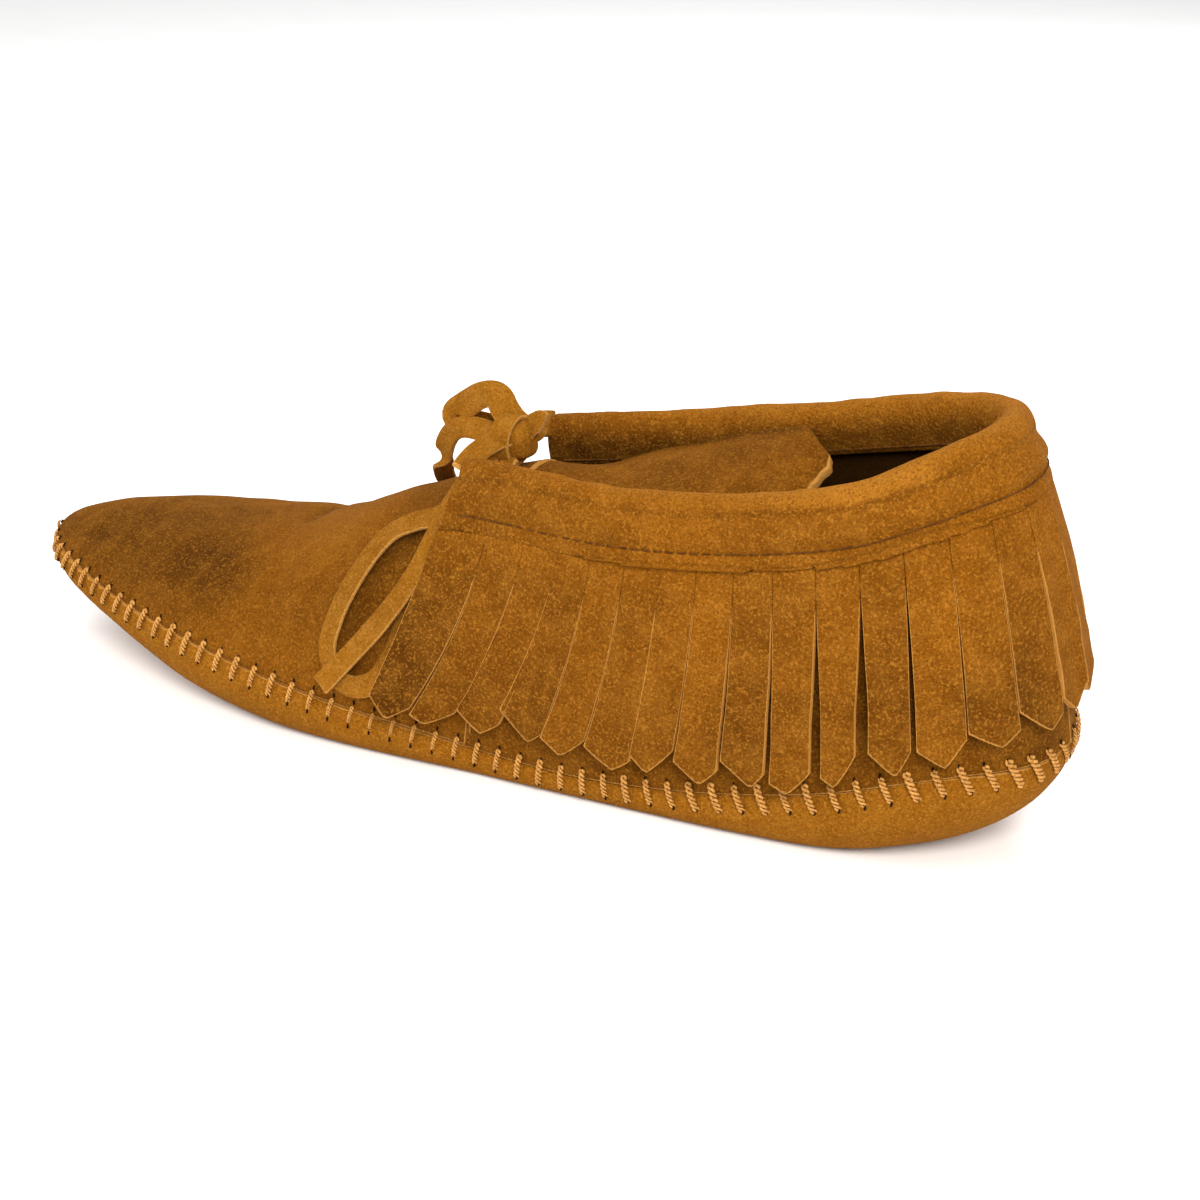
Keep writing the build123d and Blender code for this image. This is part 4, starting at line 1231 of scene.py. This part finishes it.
# %% Stitch tree
def build_stitch_tree():
    tree = bpy.data.node_groups.new("Stitch row", "GeometryNodeTree")
    node_input(tree, "Geometry", "NodeSocketGeometry")
    node_input(tree, "Length", "NodeSocketFloat", 0.006)
    node_input(tree, "Strand radius", "NodeSocketFloat", 0.00036)
    node_input(tree, "Spread", "NodeSocketFloat", 0.0006)
    node_input(tree, "Turns", "NodeSocketFloat", 2.5)
    node_input(tree, "Bow", "NodeSocketFloat", 0.0009)
    node_input(tree, "Seed", "NodeSocketInt", 7)
    node_input(tree, "Material", "NodeSocketMaterial")
    tree.interface.new_socket(name="Geometry", in_out="OUTPUT", socket_type="NodeSocketGeometry")
    into, out = tree.nodes.new("NodeGroupInput"), tree.nodes.new("NodeGroupOutput")
    circle = tree.nodes.new("GeometryNodeCurvePrimitiveCircle")
    circle.inputs["Resolution"].default_value = 7
    tree.links.new(into.outputs["Strand radius"], circle.inputs["Radius"])
    join = tree.nodes.new("GeometryNodeJoinGeometry")
    for turned in (0.0, math.pi):
        spiral = tree.nodes.new("GeometryNodeCurveSpiral")
        spiral.inputs["Resolution"].default_value = 14
        tree.links.new(into.outputs["Turns"], spiral.inputs["Rotations"])
        tree.links.new(into.outputs["Spread"], spiral.inputs["Start Radius"])
        tree.links.new(into.outputs["Spread"], spiral.inputs["End Radius"])
        tree.links.new(into.outputs["Length"], spiral.inputs["Height"])
        spin = tree.nodes.new("GeometryNodeTransform")
        spin.inputs["Rotation"].default_value = (0, 0, turned)
        tree.links.new(spiral.outputs[0], spin.inputs["Geometry"])
        tube = tree.nodes.new("GeometryNodeCurveToMesh")
        tube.inputs["Fill Caps"].default_value = True
        tree.links.new(spin.outputs[0], tube.inputs["Curve"])
        tree.links.new(circle.outputs[0], tube.inputs["Profile Curve"])
        tree.links.new(tube.outputs[0], join.inputs[0])
    squash = tree.nodes.new("GeometryNodeTransform")
    squash.inputs["Scale"].default_value = (0.6, 1, 1)
    tree.links.new(join.outputs[0], squash.inputs["Geometry"])
    position = tree.nodes.new("GeometryNodeInputPosition")
    split = tree.nodes.new("ShaderNodeSeparateXYZ")
    tree.links.new(position.outputs[0], split.inputs[0])
    along = math_node(tree, "DIVIDE", split.outputs["Z"], into.outputs["Length"])
    middle = math_node(tree, "SUBTRACT", along, 0.5)
    from_middle = math_node(tree, "MULTIPLY", math_node(tree, "ABSOLUTE", middle), 2.0)
    bulge = math_node(tree, "SUBTRACT", 1.0, math_node(tree, "POWER", from_middle, 2.4))
    rise = math_node(tree, "MULTIPLY", bulge, into.outputs["Bow"])
    offset = tree.nodes.new("ShaderNodeCombineXYZ")
    tree.links.new(rise, offset.inputs["X"])
    tree.links.new(math_node(tree, "MULTIPLY", into.outputs["Length"], -0.5), offset.inputs["Z"])
    bend = tree.nodes.new("GeometryNodeSetPosition")
    tree.links.new(squash.outputs[0], bend.inputs["Geometry"])
    tree.links.new(offset.outputs[0], bend.inputs["Offset"])
    points = tree.nodes.new("GeometryNodeMeshToPoints")
    tree.links.new(into.outputs["Geometry"], points.inputs["Mesh"])
    stand = tree.nodes.new("FunctionNodeAlignRotationToVector")
    stand.axis = "Z"
    tree.links.new(named(tree, "FLOAT_VECTOR", "dir"), stand.inputs["Vector"])
    face = tree.nodes.new("FunctionNodeAlignRotationToVector")
    face.axis, face.pivot_axis = "X", "Z"
    tree.links.new(stand.outputs[0], face.inputs["Rotation"])
    tree.links.new(named(tree, "FLOAT_VECTOR", "out"), face.inputs["Vector"])
    chance = tree.nodes.new("FunctionNodeRandomValue")
    chance.data_type = "FLOAT"
    chance.inputs[2].default_value = 0.88
    chance.inputs[3].default_value = 1.08
    tree.links.new(into.outputs["Seed"], chance.inputs["Seed"])
    place = tree.nodes.new("GeometryNodeInstanceOnPoints")
    tree.links.new(points.outputs[0], place.inputs["Points"])
    tree.links.new(bend.outputs[0], place.inputs["Instance"])
    tree.links.new(face.outputs[0], place.inputs["Rotation"])
    scale = math_node(tree, "MULTIPLY", chance.outputs[1], named(tree, "FLOAT", "size"))
    tree.links.new(scale, place.inputs["Scale"])
    real = tree.nodes.new("GeometryNodeRealizeInstances")
    tree.links.new(place.outputs[0], real.inputs[0])
    smooth_faces = tree.nodes.new("GeometryNodeSetShadeSmooth")
    tree.links.new(real.outputs[0], smooth_faces.inputs["Geometry"])
    paint = tree.nodes.new("GeometryNodeSetMaterial")
    tree.links.new(smooth_faces.outputs[0], paint.inputs["Geometry"])
    tree.links.new(into.outputs["Material"], paint.inputs["Material"])
    tree.links.new(paint.outputs[0], out.inputs[0])
    return tree


STITCH_TREE = build_stitch_tree()
print("stitch tree has", len(STITCH_TREE.nodes), "nodes")

# %% [markdown]
# The whipstitches join the sole to the upper, all the way round the seam.
# They slant one way at the toe and the other way at the heel.
# Each one is set between two points found on the leather itself.

# %% Whipstitches
def stitch_piece(name, places, directions, outs, node, material=THREAD, sizes=1.0, **values):
    mesh = bpy.data.meshes.new(name)
    mesh.from_pydata((np.asarray(places) * MM).tolist(), [], [])
    for key, vectors in (("dir", directions), ("out", outs)):
        layer = mesh.attributes.new(key, "FLOAT_VECTOR", "POINT")
        layer.data.foreach_set("vector", np.asarray(vectors, np.float32).ravel())
    layer = mesh.attributes.new("size", "FLOAT", "POINT")
    layer.data.foreach_set("value", np.asarray(sizes + np.zeros(len(places)), np.float32))
    obj = bpy.data.objects.new(name, mesh)
    bpy.context.scene.collection.objects.link(obj)
    run_tree(obj, STITCH_TREE, Material=material, **values)
    return finish_piece(obj, material, node)


def snap(targets, guesses):
    """The nearest surface points to the guesses, and the surface normals there."""
    found = []
    for guess in guesses:
        hits = [obj.closest_point_on_mesh(Vector(guess) * MM) for obj in targets]
        found.append(min(hits, key=lambda hit: (hit[1] - Vector(guess) * MM).length))
    return np.array([hit[1] for hit in found]) / MM, np.array([hit[2] for hit in found])


run_at = (np.arange(STITCHES) + 0.5) * PITCH
u_at = np.interp(run_at, np.append(loop_run, loop_step.sum()), np.append(loop_u, len(seam_loop)))
along_x, along_y = (closed([p[k] for p in seam_loop]) for k in range(2))
sx, sy = along_x(u_at), along_y(u_at)
tx = along_x(u_at + 0.02) - along_x(u_at - 0.02)
ty = along_y(u_at + 0.02) - along_y(u_at - 0.02)
tangent = unit_rows(np.stack([tx, ty, 0 * tx], -1))
out = np.stack([tangent[:, 1], -tangent[:, 0], 0 * tx], -1)
slant = np.interp(sx, [-130, -60, 20, 60, 130], [0.9, 0.9, 0.4, -1.2, -1.5])
slant = slant * np.where(sy < 0, 1, -1)
seam = np.stack([sx, sy, seam_z(sx)], -1)
lean = tangent * slant[:, None]
uppers = [vamp, bpy.data.objects["outer_quarter_leather"],
          bpy.data.objects["inner_quarter_leather"]]
tops, top_out = snap(uppers, seam + [0, 0, 2.5] - out * 0.1 + lean)
lows, low_out = snap([sole], seam - [0, 0, 3.2] + out * 0.5 - lean)
chord = np.clip(np.linalg.norm(tops - lows, axis=1), 4.0, 6.4)
stitch_wear_and_band_highlight = 1 - 0.35 * np.exp(-((sx + 18) / 22) ** 2)
stitch_out = unit_rows(top_out + low_out)
middle = (tops + lows) / 2
crest, _ = snap([sole] + uppers, seam + out * 3)
rise = np.clip(((crest - middle) * stitch_out).sum(1, keepdims=True), 0, 2.0)
whip_at = middle + stitch_out * (0.1 + 0.75 * rise)
whip = stitch_piece("whipstitch", whip_at, unit_rows(tops - lows), stitch_out, "sole_stitches",
                    sizes=chord / 6 * stitch_wear_and_band_highlight, Length=0.006, Turns=3.0, Bow=0.0006, Seed=11,
                    Spread=0.00050, **{"Strand radius": 0.00031})
# The dark stubs in the holes stand in for the shade inside them.
hole_at = np.concatenate([tops, lows])
hole_out = np.concatenate([top_out, low_out])
holes = stitch_piece("stitch_holes", hole_at, hole_out, np.concatenate([tangent, tangent]),
                     "sole_stitches", HOLE, Length=0.0005, Turns=0.4, Bow=0.0, Seed=3,
                     Spread=0.0002, **{"Strand radius": 0.00036})
print("whipstitch has", len(whip.data.polygons), "faces, and the holes", len(holes.data.polygons))

# %% [markdown]
# The fine row under the lace tunnel holds the fold shut.
# It uses the same tree, with a thinner thread and shorter stitches.

# %% Collar row
places, directions, outs = [], [], []
for side, side_name in SIDE_NAMES:
    u = np.linspace(1.1, 10.95, 62)
    rim_x, rim_y, top = rim(u, side)
    outer_row = wall(u, top - 11.0, side, SKIRT_STAND - 0.05)
    nx, ny = wall_normal(u)
    inner_row = np.stack([rim_x - nx * 2.9, side * (rim_y - ny * 2.9), top - 10.6], -1)
    normal = np.stack([nx, side * ny, 0 * nx], -1)
    for row, sign in ((outer_row, 1), (inner_row, -1)):
        places.append(row)
        directions.append(unit_rows(np.gradient(row, axis=0)))
        outs.append(normal * sign)
places, directions, outs = (np.concatenate(rows) for rows in (places, directions, outs))
collar = stitch_piece("collar_thread", places, directions, outs, "collar_stitches", SEAM_THREAD,
                      Length=0.0021, Turns=1.0, Bow=0.0001, Seed=5, Spread=0.0001,
                      **{"Strand radius": 0.00013})
print("collar thread has", len(collar.data.polygons), "faces")

# %% [markdown]
# ## What each cord is
# The loop below looks up the route of each free cord.


for name, piece in LACE_PIECES.items():
    route = LACES[name]
print("declared", len(LACE_PIECES), "cords")

# %% [markdown]
# ## Floor and light
# A pale floor and a bright surround make a plain studio.
# A broad light stands above and in front, and a weaker one fills the toe side.

# %% Stage
bpy.ops.mesh.primitive_plane_add(size=6, location=(0, 0, -0.0002))
floor = bpy.context.object
floor.name = "floor"
floor.data.materials.append(FLOOR)
world = bpy.data.worlds.new("studio")
bpy.context.scene.world = world
world.use_nodes = True
surround = world.node_tree.nodes["Background"]
surround.inputs["Color"].default_value = (1.0, 1.0, 1.0, 1)
surround.inputs["Strength"].default_value = 0.75


def area_light(name, place, aim, size, power, colour=(1, 1, 1)):
    data = bpy.data.lights.new(name, "AREA")
    data.shape, data.size, data.energy, data.color = "DISK", size, power, colour
    light = bpy.data.objects.new(name, data)
    light.location = place
    light.rotation_euler = (Vector(aim) - Vector(place)).to_track_quat("-Z", "Y").to_euler()
    bpy.context.scene.collection.objects.link(light)


area_light("key", (0.55, -0.75, 0.75), (0.03, 0, 0.04), 0.5, 14, (1, 0.97, 0.92))
area_light("fill", (-0.7, -0.6, 0.5), (0, 0, 0.03), 0.6, 4)
area_light("rim", (0.0, 0.8, 0.7), (0, 0, 0.05), 0.5, 5)
bpy.context.scene.view_settings.view_transform = "Standard"
bpy.context.scene.view_settings.look = "None"
